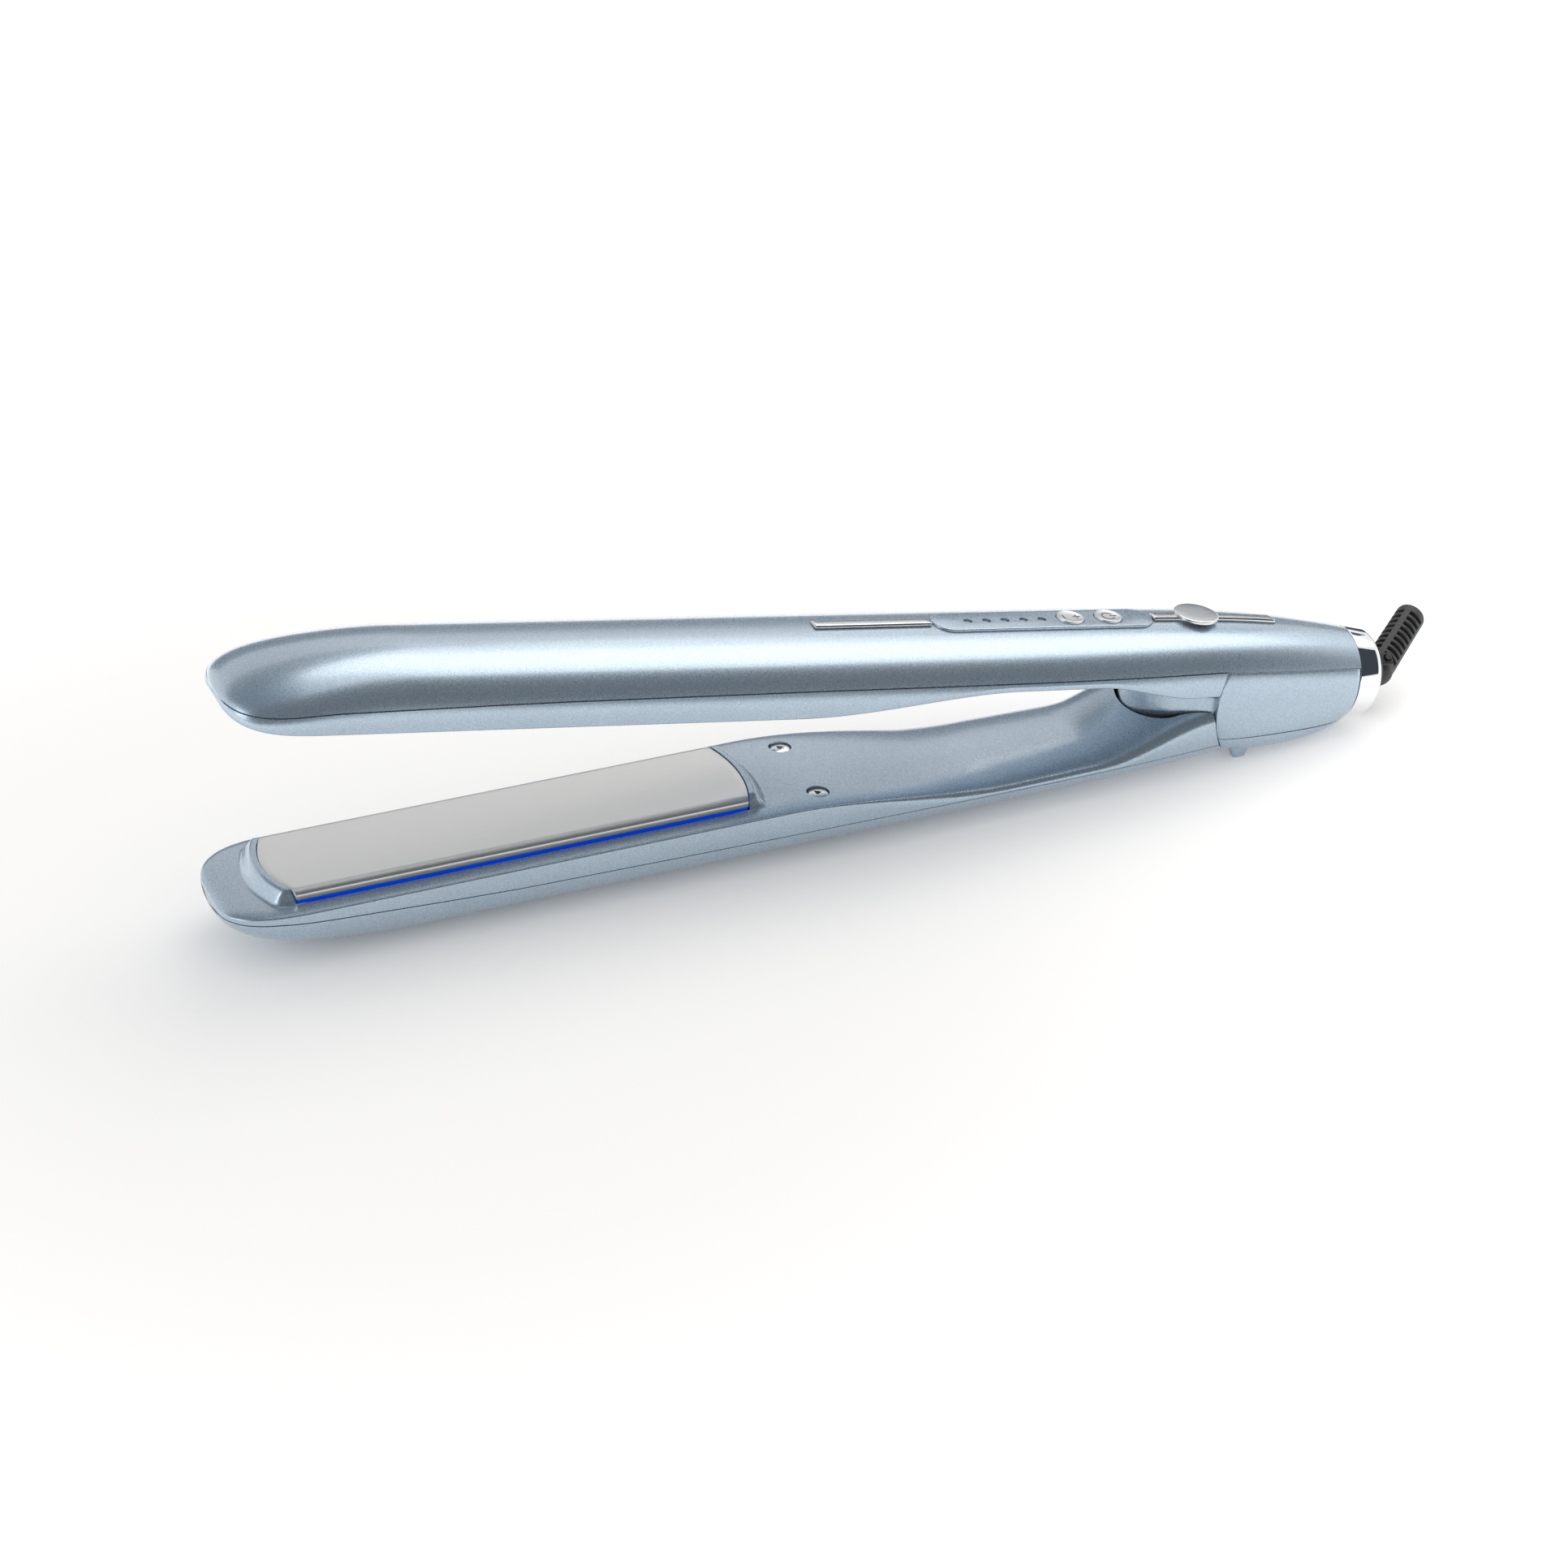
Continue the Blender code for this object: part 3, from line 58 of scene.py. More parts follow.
plate_front_x = -251.5 * MM
plate_rear_x = -141.5 * MM
tip_x = -268.7 * MM
arm_half_width = 18.9 * MM
arm_depth = 16.0 * MM
shell_wall = 1.3 * MM
nose_height = 3.9 * MM
nose_plan_length, nose_plan_power = 23.9 * MM, 3.2
nose_back_length, nose_back_power = 44 * MM, 1.75
nose_face_length, nose_face_power = 20.4 * MM, 3.3
narrow_start_x, shallow_start_x = -125 * MM, -60 * MM
rear_fall_power = 3.5
crest_power, crest_power_fall = 2.4, 0.4
middle_height = 2.0 * MM
doubles_gap = 0.002 * MM
mirror_gap = 0.004 * MM
ring_front_x = 24.3 * MM
ring_radius = 11.7 * MM
panel_radius = 18.7 * MM
turn_gap = 0.4 * MM
parting_gap = 0.3 * MM
lip_rise = 1.4 * MM
rim_height = {LOWER: 0.3 * MM, UPPER: 0.8 * MM}
scoop_depth = {LOWER: 5.0 * MM, UPPER: 5.6 * MM}
rear_face = {LOWER: -3.9 * MM, UPPER: lip_rise + turn_gap}
parting_line = {
    LOWER: [(-268.7, 3.95), (-268.2, 3.2), (-266.5, 2.8), (-262.0, 2.6), (-257.0, 2.65),
            (-249.0, 3.3), (-243.0, 3.7), (-231.6, 4.3), (-215.9, 5.2), (-200.0, 5.95),
            (-160.0, 6.8), (-127.0, 7.4), (-60.0, 8.5), (-18.7, 9.1)],
    UPPER: [(-268.7, 3.95), (-268.0, 4.3), (-265.6, 4.45), (-260.6, 4.8), (-255.4, 5.3),
            (-250.0, 5.85), (-245.0, 6.2), (-233.0, 6.55), (-210.0, 7.05), (-190.0, 7.35),
            (-130.0, 7.8), (-18.7, 8.2), (24.3, 5.8)]}
scoop_front_x, scoop_deep_x = -132 * MM, -74 * MM
scoop_rear = {LOWER: (-51 * MM, -20 * MM), UPPER: (-53 * MM, -25 * MM)}


def smooth_step(value):
    value = min(max(value, 0.0), 1.0)
    return value * value * (3 - 2 * value)


def nose_curve(x, length, power):
    share = min(max((tip_x + length - x) / length, 0.0), 1.0)
    return (1 - share ** power) ** (1 / power)


def rear_fall(x, start):
    return max((x - start) / (ring_front_x - start), 0.0) ** rear_fall_power


def half_width(x):
    wide = arm_half_width * nose_curve(x, nose_plan_length, nose_plan_power)
    return wide - (arm_half_width - ring_radius) * rear_fall(x, narrow_start_x)


def back_depth(x):
    rise = nose_curve(x, nose_back_length, nose_back_power)
    deep = nose_height + (arm_depth - nose_height) * rise
    return deep - (arm_depth - ring_radius) * rear_fall(x, shallow_start_x)


def back_power(x):
    return crest_power - crest_power_fall * smooth_step((x + panel_radius) / (ring_front_x + panel_radius))


def scoop_share(x):
    return smooth_step((x - scoop_front_x) / (scoop_deep_x - scoop_front_x))


def rear_share(x, arm):
    start, end = scoop_rear[arm]
    return smooth_step((x - start) / (end - start))


def inner_face(x, arm):
    face = rim_height[arm] + (scoop_depth[arm] - rim_height[arm]) * scoop_share(x)
    face += (rear_face[arm] - scoop_depth[arm]) * rear_share(x, arm)
    return nose_height - (nose_height - face) * nose_curve(x, nose_face_length, nose_face_power)


def parting_height(x, arm):
    """Height of the parting line over the seam, read between the points of its course."""
    line = parting_line[arm]
    for (start, low), (end, high) in zip(line, line[1:]):
        if x <= end * MM or end == line[-1][0]:
            share = min(max((x / MM - start) / (end - start), 0.0), 1.0)
            return (low + (high - low) * share) * MM


def arm_section(x, arm, inset=0.0):
    """Sizes of an arm's cross-section: round back, seam edge and inner face."""
    back = back_depth(x) - inset
    face = inner_face(x, arm) + inset
    neck = scoop_share(x) if arm == LOWER else 0.0
    bulge = rear_share(x, arm) if arm == LOWER else 0.0
    fall = (1.6 + 2.4 * neck + 2.5 * bulge) * MM
    edge = min(face + fall, (face + back) / 2, parting_height(x, arm) - 0.25 * MM)
    edge = max(edge, face + 0.01 * MM)
    middle = min(middle_height, back / 2)
    power = back_power(x)
    rise = min(max((edge - middle) / (back - middle), 0.0), 1.0) if back > middle else 0.0
    start = math.asin(rise ** (power / 2))
    return {"half": half_width(x) - inset, "back": back, "face": face, "edge": edge, "middle": middle,
            "power": power, "start": start, "edge_power": 8.0 - 5.4 * neck - 0.4 * bulge}


def back_point(section, angle):
    power = section["power"]
    across = section["half"] * max(math.cos(angle), 0.0) ** (2 / power)
    rise = max(math.sin(angle), 0.0) ** (2 / power)
    return across, section["middle"] + (section["back"] - section["middle"]) * rise


def back_angle(section, height):
    room = section["back"] - section["middle"]
    share = min(max((height - section["middle"]) / room, 0.0), 1.0) if room > 0 else 1.0
    return math.asin(share ** (section["power"] / 2))


def spread(first, last, steps):
    return [first + (last - first) * step / steps for step in range(steps + 1)]


def parting_apex(arm, shift):
    """Place on the nose where the parting line crosses the crest."""
    low, high = tip_x, tip_x + nose_back_length
    for step in range(60):
        mid = (low + high) / 2
        if back_depth(mid) > parting_height(mid, arm) + shift:
            high = mid
        else:
            low = mid
    return high


def laid_grid(name, rows, columns, place):
    """A grid whose crossings are laid on a surface by row and column."""
    bpy.ops.object.select_all(action="DESELECT")
    bpy.ops.mesh.primitive_grid_add(x_subdivisions=rows, y_subdivisions=columns, size=1.0)
    piece = bpy.context.object
    piece.name = name
    piece.data.name = name
    for point in piece.data.vertices:
        point.co = place(round((point.co.x + 0.5) * rows), round((point.co.y + 0.5) * columns))
    return piece


def apply_modifier(piece, kind, **settings):
    modifier = piece.modifiers.new(kind.lower(), kind)
    for key, value in settings.items():
        setattr(modifier, key, value)
    bpy.context.view_layer.objects.active = piece
    bpy.ops.object.modifier_apply(modifier=modifier.name)


def ease_edges(piece, width, segments, degrees):
    """Rounds the edges that are sharper than an angle."""
    apply_modifier(piece, "BEVEL", width=width, segments=segments, limit_method="ANGLE",
                   angle_limit=math.radians(degrees))


def pick(piece):
    """Makes one piece the selected and active object."""
    bpy.ops.object.select_all(action="DESELECT")
    piece.select_set(True)
    bpy.context.view_layer.objects.active = piece


def edit_all(piece):
    """Opens a piece for editing with its whole mesh selected."""
    pick(piece)
    bpy.ops.object.mode_set(mode="EDIT")
    bpy.ops.mesh.select_all(action="SELECT")


def close_edit():
    """Turns the faces outwards and leaves the edit mode."""
    bpy.ops.mesh.select_all(action="SELECT")
    bpy.ops.mesh.normals_make_consistent(inside=False)
    bpy.ops.object.mode_set(mode="OBJECT")


def tidy_mesh(piece):
    """Joins doubled points and turns the faces outwards."""
    edit_all(piece)
    bpy.ops.mesh.remove_doubles(threshold=doubles_gap)
    bpy.ops.mesh.dissolve_degenerate(threshold=doubles_gap)
    close_edit()


def face_away(piece):
    """Turns an open skin so that it faces away from the X axis."""
    lean = 0.0
    for face in piece.data.polygons:
        lean += face.area * face.normal.dot(face.center - Vector((face.center.x, 0.0, 0.0)))
    if lean < 0:
        edit_all(piece)
        bpy.ops.mesh.flip_normals()
        bpy.ops.object.mode_set(mode="OBJECT")


def mirror_across(piece):
    """Completes half a piece with its mirror image on the other side of the arm."""
    apply_modifier(piece, "MIRROR", use_axis=(False, True, False), use_clip=True,
                   merge_threshold=mirror_gap)


def moulded_wall(piece, wall, mirrored=True):
    """Mirrors half a skin and gives it a wall on the inside."""
    if mirrored:
        mirror_across(piece)
    tidy_mesh(piece)
    face_away(piece)
    apply_modifier(piece, "SOLIDIFY", thickness=wall, offset=-1.0)


def shape_with(piece, tool, operation="DIFFERENCE", **settings):
    """Cuts a piece with a tool, or joins the tool to it, and takes the tool away."""
    apply_modifier(piece, "BOOLEAN", object=tool, operation=operation, solver="EXACT", **settings)
    bpy.data.objects.remove(tool, do_unlink=True)


def shade(piece, degrees):
    pick(piece)
    bpy.ops.object.shade_smooth_by_angle(angle=math.radians(degrees))


def finish_with(piece, material):
    piece.data.materials.clear()
    piece.data.materials.append(material)


def fit(piece, degrees, material, body, node):
    """Finishes a piece and fixes it to its body in place of the plain solid."""
    shade(piece, degrees)
    finish_with(piece, material)
    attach(piece, body)
    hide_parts(node)


def hinge_cutter(radius):
    """Round of the hinge housing, which the arm's mouldings stop at."""
    bpy.ops.object.select_all(action="DESELECT")
    bpy.ops.mesh.primitive_cylinder_add(
        vertices=128, radius=radius, depth=60 * MM, location=hinge, rotation=(math.pi / 2, 0.0, 0.0))
    bpy.ops.object.transform_apply(location=True, rotation=True, scale=True)
    return bpy.context.object


def outer_shell(arm, rear_x):
    """Smooth back of an arm, from the parting line on one side to the other."""
    shift = parting_gap / 2
    apex = parting_apex(arm, shift)
    stations = [apex + 40 * MM * share * share for share in spread(0.0, 1.0, 44)]
    stations += spread(apex + 40 * MM, rear_x, 130)[1:]
    columns = 34
    rings = []
    for x in stations:
        section = arm_section(x, arm)
        angles = spread(math.pi / 2, back_angle(section, parting_height(x, arm) + shift), columns)
        rings.append([(x, *back_point(section, angle)) for angle in angles])

    def place(row, column):
        x, y, z = rings[row][column]
        return Vector((x, -y, arm * z))

    piece = laid_grid(f"{arm_name[arm]}_back_moulding", len(stations) - 1, columns, place)
    moulded_wall(piece, shell_wall)
    piece.data.transform(arm_place[arm])
    return piece


def make_group(name, inputs, outputs):
    """An empty shader node group with its sockets."""
    group = bpy.data.node_groups.new(name, "ShaderNodeTree")
    for socket, kind, value in inputs:
        made = group.interface.new_socket(socket, in_out="INPUT", socket_type=kind)
        made.default_value = value
    for socket, kind in outputs:
        group.interface.new_socket(socket, in_out="OUTPUT", socket_type=kind)
    return group, group.nodes.new("NodeGroupInput"), group.nodes.new("NodeGroupOutput")


def join(tree, start, end):
    tree.links.new(start, end)


def math_node(tree, operation, first, second):
    node = tree.nodes.new("ShaderNodeMath")
    node.operation = operation
    for socket, value in zip(node.inputs, (first, second)):
        if isinstance(value, (int, float)):
            socket.default_value = value
        else:
            join(tree, value, socket)
    return node.outputs[0]


def new_material(name):
    material = bpy.data.materials.new(name)
    material.use_nodes = True
    return material, material.node_tree, material.node_tree.nodes["Principled BSDF"]


# Mica flakes in a clear binder: small bright and dark grains and a slow drift of the tone.
flakes, flake_in, flake_out = make_group(
    "mica_flakes",
    [("Colour", "NodeSocketColor", (0.4, 0.48, 0.56, 1.0)), ("Sparkle", "NodeSocketFloat", 0.3),
     ("Grain", "NodeSocketFloat", 5200.0)],
    [("Colour", "NodeSocketColor"), ("Roughness", "NodeSocketFloat"), ("Height", "NodeSocketFloat")])
flake_place = flakes.nodes.new("ShaderNodeTexCoord").outputs["Object"]
flake_cells = flakes.nodes.new("ShaderNodeTexVoronoi")
join(flakes, flake_place, flake_cells.inputs["Vector"])
join(flakes, flake_in.outputs["Grain"], flake_cells.inputs["Scale"])
flake_tone = flakes.nodes.new("ShaderNodeSeparateColor")
join(flakes, flake_cells.outputs["Color"], flake_tone.inputs[0])
drift = flakes.nodes.new("ShaderNodeTexNoise")
drift.inputs["Scale"].default_value = 60.0
drift.inputs["Detail"].default_value = 2.0
join(flakes, flake_place, drift.inputs["Vector"])
grain_tone = math_node(flakes, "SUBTRACT", flake_tone.outputs[0], 0.5)
grain_gain = math_node(flakes, "MULTIPLY", grain_tone, flake_in.outputs["Sparkle"])
drift_tone = math_node(flakes, "SUBTRACT", drift.outputs["Fac"], 0.5)
drift_gain = math_node(flakes, "MULTIPLY", drift_tone, 0.10)
tone = math_node(flakes, "ADD", math_node(flakes, "ADD", grain_gain, drift_gain), 1.0)
flake_colour = flakes.nodes.new("ShaderNodeVectorMath")
flake_colour.operation = "SCALE"
join(flakes, flake_in.outputs["Colour"], flake_colour.inputs[0])
join(flakes, tone, flake_colour.inputs["Scale"])
join(flakes, flake_colour.outputs[0], flake_out.inputs["Colour"])
flake_rough = math_node(flakes, "MULTIPLY", flake_tone.outputs[1], 0.12)
join(flakes, math_node(flakes, "ADD", flake_rough, 0.25), flake_out.inputs["Roughness"])
join(flakes, flake_tone.outputs[2], flake_out.inputs["Height"])


def set_sockets(node, values):
    """Writes constants on a node's input sockets."""
    for name, value in values.items():
        node.inputs[name].default_value = value


def grained_material(name, group, values, lift, depth):
    """A material whose colour, roughness and relief come from a node group."""
    material, tree, shader = new_material(name)
    grain = tree.nodes.new("ShaderNodeGroup")
    grain.node_tree = group
    set_sockets(grain, values)
    join(tree, grain.outputs["Colour"], shader.inputs["Base Color"])
    join(tree, grain.outputs["Roughness"], shader.inputs["Roughness"])
    bump = tree.nodes.new("ShaderNodeBump")
    set_sockets(bump, {"Strength": lift, "Distance": depth})
    join(tree, grain.outputs["Height"], bump.inputs["Height"])
    join(tree, bump.outputs["Normal"], shader.inputs["Normal"])
    return material, shader


pearl_blue = (0.435, 0.535, 0.635, 1.0)
shell_paint, paint_shader = grained_material(
    "pearl_blue_paint", flakes, {"Colour": pearl_blue, "Sparkle": 0.24}, 0.16, 0.04 * MM)
set_sockets(paint_shader, {"Metallic": 0.72, "Coat Weight": 0.8, "Coat Roughness": 0.12, "Coat IOR": 1.5})
lower_back = outer_shell(LOWER, -9 * MM)
shape_with(lower_back, hinge_cutter(panel_radius + turn_gap))
ease_edges(lower_back, 0.12 * MM, 2, 50)
fit(lower_back, 40, shell_paint, body="lower_arm", node="lower_outer_shell")

# Inner moulding of the lower arm: the rim round the plate, a rib at each end of it and the scooped grip.
# Plastic with the same lacquer, screwed to the back moulding, with a window for the floating plate
# and an opening at the rear that the hinge boss swings in.
plate_half_width = 14.0 * MM
plate_bow = {-1: 4.0 * MM, 1: 2.5 * MM}
plate_end_x = {-1: plate_front_x, 1: plate_rear_x}
rib_half_width = plate_half_width
rib_width = 2.6 * MM
rib_top = 3.0 * MM
rib_crown, rib_fall = 1.5 * MM, 3.2 * MM
rib_end_start, rib_end_fade = 1.6 * MM, 2.2 * MM
trough_depth, trough_fade = 2.6 * MM, 0.8 * MM
screw_x, screw_y = -122.6 * MM, 11.8 * MM
screw_sink = 2.8 * MM
boss_front = 36.0 * MM
boss_drop = 8.4 * MM
boss_rear_x = -panel_radius - turn_gap
boss_tail_x = -15.5 * MM
boss_round = 9.0 * MM
boss_nose_half, boss_half = 13.0 * MM, 14.9 * MM
boss_draw, boss_draw_start, boss_draw_height = 3.6 * MM, 2.5 * MM, 6 * MM
boss_top = rear_face[UPPER] - 0.3 * MM


def plate_outline(ends, sides, steps=16):
    """Plan of a plate with bowed ends, grown by a margin at the ends and sides."""
    half = plate_half_width + sides
    across = spread(-half, half, steps)
    rear = [(plate_rear_x + ends + plate_bow[1] * (1 - (y / half) ** 2), y) for y in across]
    front = [(plate_front_x - ends - plate_bow[-1] * (1 - (y / half) ** 2), y) for y in reversed(across)]
    return rear + front


def rib_height(x, y):
    """Rise of the collar at the nearer end of the plate, steep at the plate and hollow towards the face."""
    end = -1 if x < (plate_front_x + plate_rear_x) / 2 else 1
    bow = plate_bow[end]
    share = min(abs(y) / rib_half_width, 1.0)
    edge = plate_end_x[end] + end * bow * (1 - share * share)
    slope = 2 * bow * share / rib_half_width
    away = max(end * (x - edge), 0.0) / math.sqrt(1 + slope * slope)
    crown = 1 - smooth_step((away - rib_crown) / rib_fall)
    ends = 1 - smooth_step((abs(y) - rib_half_width + rib_end_start) / rib_end_fade)
    inside = end * (x - edge) > -3 * MM
    return (rib_top + rim_height[LOWER]) * crown * ends * inside


def plate_recess(x, y):
    """Depth of the trough in the upper arm that takes the lower arm's ribs."""
    half = plate_half_width + 2 * turn_gap
    ends = rib_width + 4 * turn_gap
    bow = 1 - (y / half) ** 2
    from_front = x - plate_front_x + ends + plate_bow[-1] * bow
    from_rear = plate_rear_x + ends + plate_bow[1] * bow - x
    inside = min(from_front, from_rear, half - abs(y))
    return trough_depth * smooth_step(inside / trough_fade + 0.5)


def close_ends(piece):
    """Caps each open end of a tube with one face."""
    edit_all(piece)
    bpy.ops.mesh.fill_holes(sides=0)
    close_edit()


def inner_form(name, arm, rear_x, carve, inset=0.0):
    """Body between an arm's inner face and its parting line, or the smaller form that hollows it."""
    apex = parting_apex(arm, -parting_gap / 2)
    stations = [tip_x + (apex - tip_x) * share * share for share in spread(0.0, 1.0, 14)]
    stations += spread(apex, -263 * MM, 10)[1:]
    stations += spread(-263 * MM, -250 * MM, 52)[1:]
    stations += spread(-250 * MM, -143 * MM, 40)[1:]
    stations += spread(-143 * MM, -133 * MM, 40)[1:]
    stations += spread(-133 * MM, rear_x, 88)[1:]
    rise = -parting_gap / 2
    if inset > 0:
        stations = [x for x in stations if x > apex + 2 * inset]
        rise = 2 * MM
    rings = []
    for x in stations:
        section = arm_section(x, arm, inset)
        start = section["start"]
        first = max(back_angle(section, parting_height(x, arm) + rise), start)
        ring = [back_point(section, angle) for angle in spread(first, start, 10)]
        side = ring[-1][0]
        power = section["edge_power"]
        fall = section["edge"] - section["face"]
        last = math.acos(0.9 ** (power / 2))
        shares = [math.cos(last * share ** 1.5) ** (2 / power) for share in spread(0.0, 1.0, 12)]
        for share in shares[1:] + spread(0.9, 0.0, 44)[1:]:
            drop = (1 - share ** power) ** (1 / power)
            ring.append((side * share, section["edge"] - fall * drop + carve(x, side * share)))
        rings.append([(0.0, ring[0][1])] + ring)

    def place(row, column):
        y, z = rings[row][column]
        return Vector((stations[row], -y, arm * z))

    piece = laid_grid(name, len(stations) - 1, len(rings[0]) - 1, place)
    mirror_across(piece)
    tidy_mesh(piece)
    close_ends(piece)
    return piece


def drawn_solid(name, outline, low, high, axis="Z"):
    """An outline drawn square to the Y or Z axis and extruded between two heights."""
    turned = {"Y": lambda u, v, w: (u, w, v), "Z": lambda u, v, w: (u, v, w)}[axis]
    bpy.ops.object.select_all(action="DESELECT")
    bpy.ops.mesh.primitive_circle_add(vertices=len(outline), fill_type="NGON")
    piece = bpy.context.object
    piece.name = name
    piece.data.name = name
    for point, (u, v) in zip(piece.data.vertices, outline):
        point.co = turned(u, v, low)
    edit_all(piece)
    bpy.ops.mesh.extrude_region_move(TRANSFORM_OT_translate={"value": turned(0.0, 0.0, high - low)})
    close_edit()
    return piece


def box_plan(x_low, x_high, y_low, y_high):
    return [(x_low, y_low), (x_high, y_low), (x_high, y_high), (x_low, y_high)]


def round_outline(radius, steps, u=0.0, v=0.0):
    turns = [2 * math.pi * step / steps for step in range(steps)]
    return [(u + radius * math.cos(turn), v + radius * math.sin(turn)) for turn in turns]


def boss_plan(z, grow, narrow):
    """Rounded plan of the hinge boss at one height."""
    front = -math.sqrt(((boss_front + grow) ** 2 - min(abs(z), 12 * MM) ** 2))
    half = []
    for share in spread(0.0, 1.0, 16):
        turn = math.pi / 2 * share
        x = front + boss_round * (1 - math.cos(turn))
        half.append((x, (boss_nose_half + grow - narrow) * math.sin(turn), z))
    half.append((boss_rear_x, boss_half + grow - narrow, z))
    half.append((boss_tail_x + grow, boss_half + grow - narrow, z))
    return half + [(x, -y, z) for x, y, z in reversed(half[1:])]


def boss_form(name, top, bottom, grow):
    """Boss drawn through level plans, round in front and with its sides drawn in at the bottom."""
    plans = []
    for z in spread(top, bottom, 14):
        drawn_in = boss_draw * smooth_step((-boss_draw_start - z) / boss_draw_height)
        plans.append(boss_plan(z, grow, drawn_in))
    count = len(plans[0])
    piece = laid_grid(name, len(plans) - 1, count, lambda row, column: plans[row][column % count])
    tidy_mesh(piece)
    close_ends(piece)
    return piece


def cut_through(piece, name, outline, low=-20 * MM, high=20 * MM, axis="Z"):
    """Cuts an opening of the given outline through a piece."""
    shape_with(piece, drawn_solid(name, outline, low, high, axis))


def sink_screws(piece):
    for side in (-1, 1):
        cut_through(piece, "screw_sink", round_outline(screw_sink, 40, screw_x, side * screw_y))


lower_inner = inner_form("lower_inner_moulding", LOWER, -9 * MM, lambda x, y: -rib_height(x, y))
shape_with(lower_inner, inner_form("lower_core", LOWER, -4 * MM, lambda x, y: 0.0, shell_wall))
cut_through(lower_inner, "plate_window", plate_outline(turn_gap, turn_gap))
shape_with(lower_inner, boss_form("boss_room", arm_depth, -boss_drop - 2 * turn_gap, turn_gap))
sink_screws(lower_inner)
lower_inner.data.transform(lower_place)
shape_with(lower_inner, hinge_cutter(panel_radius + turn_gap))
fit(lower_inner, 35, shell_paint, body="lower_arm", node="lower_inner_shell")

# Case screws, two in each arm beside the grip.
# Bright zinc-plated steel with a low domed head, turned from wire, with a three-cornered socket
# pressed into the head so that the case can't be opened with a plain driver.
screw_head = 2.5 * MM
screw_head_height = 0.9 * MM
screw_sink_depth = 0.2 * MM
screw_shank, screw_tip, screw_length = 1.25 * MM, 0.8 * MM, 7.4 * MM
socket_radius, socket_depth = 1.35 * MM, 0.5 * MM


def turned_solid(name, profile, steps):
    """A profile drawn point by point and spun about the X axis."""
    bpy.ops.object.select_all(action="DESELECT")
    bpy.ops.mesh.primitive_plane_add(size=1 * MM)
    piece = bpy.context.object
    piece.name = name
    piece.data.name = name
    edit_all(piece)
    bpy.ops.mesh.merge(type="CENTER")
    bpy.ops.transform.translate(value=(profile[0][0], 0.0, profile[0][1]))
    for start, end in zip(profile, profile[1:]):
        step = (end[0] - start[0], 0.0, end[1] - start[1])
        bpy.ops.mesh.extrude_region_move(TRANSFORM_OT_translate={"value": step})
    bpy.ops.mesh.select_all(action="SELECT")
    bpy.ops.mesh.spin(steps=steps, angle=2 * math.pi, center=(0.0, 0.0, 0.0), axis=(1.0, 0.0, 0.0))
    bpy.ops.object.mode_set(mode="OBJECT")
    tidy_mesh(piece)
    return piece


def upright_at(x):
    """Stands a turned solid up on the middle line of an arm."""
    return Matrix.Translation((x, 0.0, 0.0)) @ Matrix.Rotation(-math.pi / 2, 4, "Y")


def copy_piece(piece, name, place):
    """A copy with its own mesh, moved to its place."""
    copy = piece.copy()
    copy.data = piece.data.copy()
    copy.name = name
    copy.data.name = name
    bpy.context.collection.objects.link(copy)
    copy.data.transform(place)
    return copy


# Worn metal: fine scratches along X with a slow change of gloss.
brushed, brushed_in, brushed_out = make_group(
    "brushed_metal",
    [("Colour", "NodeSocketColor", (0.7, 0.7, 0.7, 1.0)), ("Gloss", "NodeSocketFloat", 0.25),
     ("Stretch", "NodeSocketFloat", 40.0), ("Strength", "NodeSocketFloat", 0.08)],
    [("Colour", "NodeSocketColor"), ("Roughness", "NodeSocketFloat"), ("Height", "NodeSocketFloat")])
brushed_place = brushed.nodes.new("ShaderNodeTexCoord").outputs["Object"]
brushed_split = brushed.nodes.new("ShaderNodeSeparateXYZ")
join(brushed, brushed_place, brushed_split.inputs[0])
brushed_join = brushed.nodes.new("ShaderNodeCombineXYZ")
join(brushed, brushed_split.outputs["X"], brushed_join.inputs["X"])
for axis in ("Y", "Z"):
    stretched = math_node(brushed, "MULTIPLY", brushed_split.outputs[axis], brushed_in.outputs["Stretch"])
    join(brushed, stretched, brushed_join.inputs[axis])
brushed_noise = brushed.nodes.new("ShaderNodeTexNoise")
set_sockets(brushed_noise, {"Scale": 90.0, "Detail": 3.0})
join(brushed, brushed_join.outputs[0], brushed_noise.inputs["Vector"])
brushed_tone = math_node(brushed, "SUBTRACT", brushed_noise.outputs["Fac"], 0.5)
brushed_gain = math_node(brushed, "MULTIPLY", brushed_tone, brushed_in.outputs["Strength"])
brushed_colour = brushed.nodes.new("ShaderNodeVectorMath")
brushed_colour.operation = "SCALE"
join(brushed, brushed_in.outputs["Colour"], brushed_colour.inputs[0])
join(brushed, math_node(brushed, "ADD", brushed_gain, 1.0), brushed_colour.inputs["Scale"])
join(brushed, brushed_colour.outputs[0], brushed_out.inputs["Colour"])
join(brushed, math_node(brushed, "ADD", brushed_gain, brushed_in.outputs["Gloss"]),
     brushed_out.inputs["Roughness"])
join(brushed, brushed_noise.outputs["Fac"], brushed_out.inputs["Height"])


def bare_metal(name, colour, gloss, stretch, strength, metallic=1.0):
    values = {"Colour": colour, "Gloss": gloss, "Stretch": stretch, "Strength": strength}
    material, shader = grained_material(name, brushed, values, 0.06, 0.02 * MM)
    shader.inputs["Metallic"].default_value = metallic
    return material


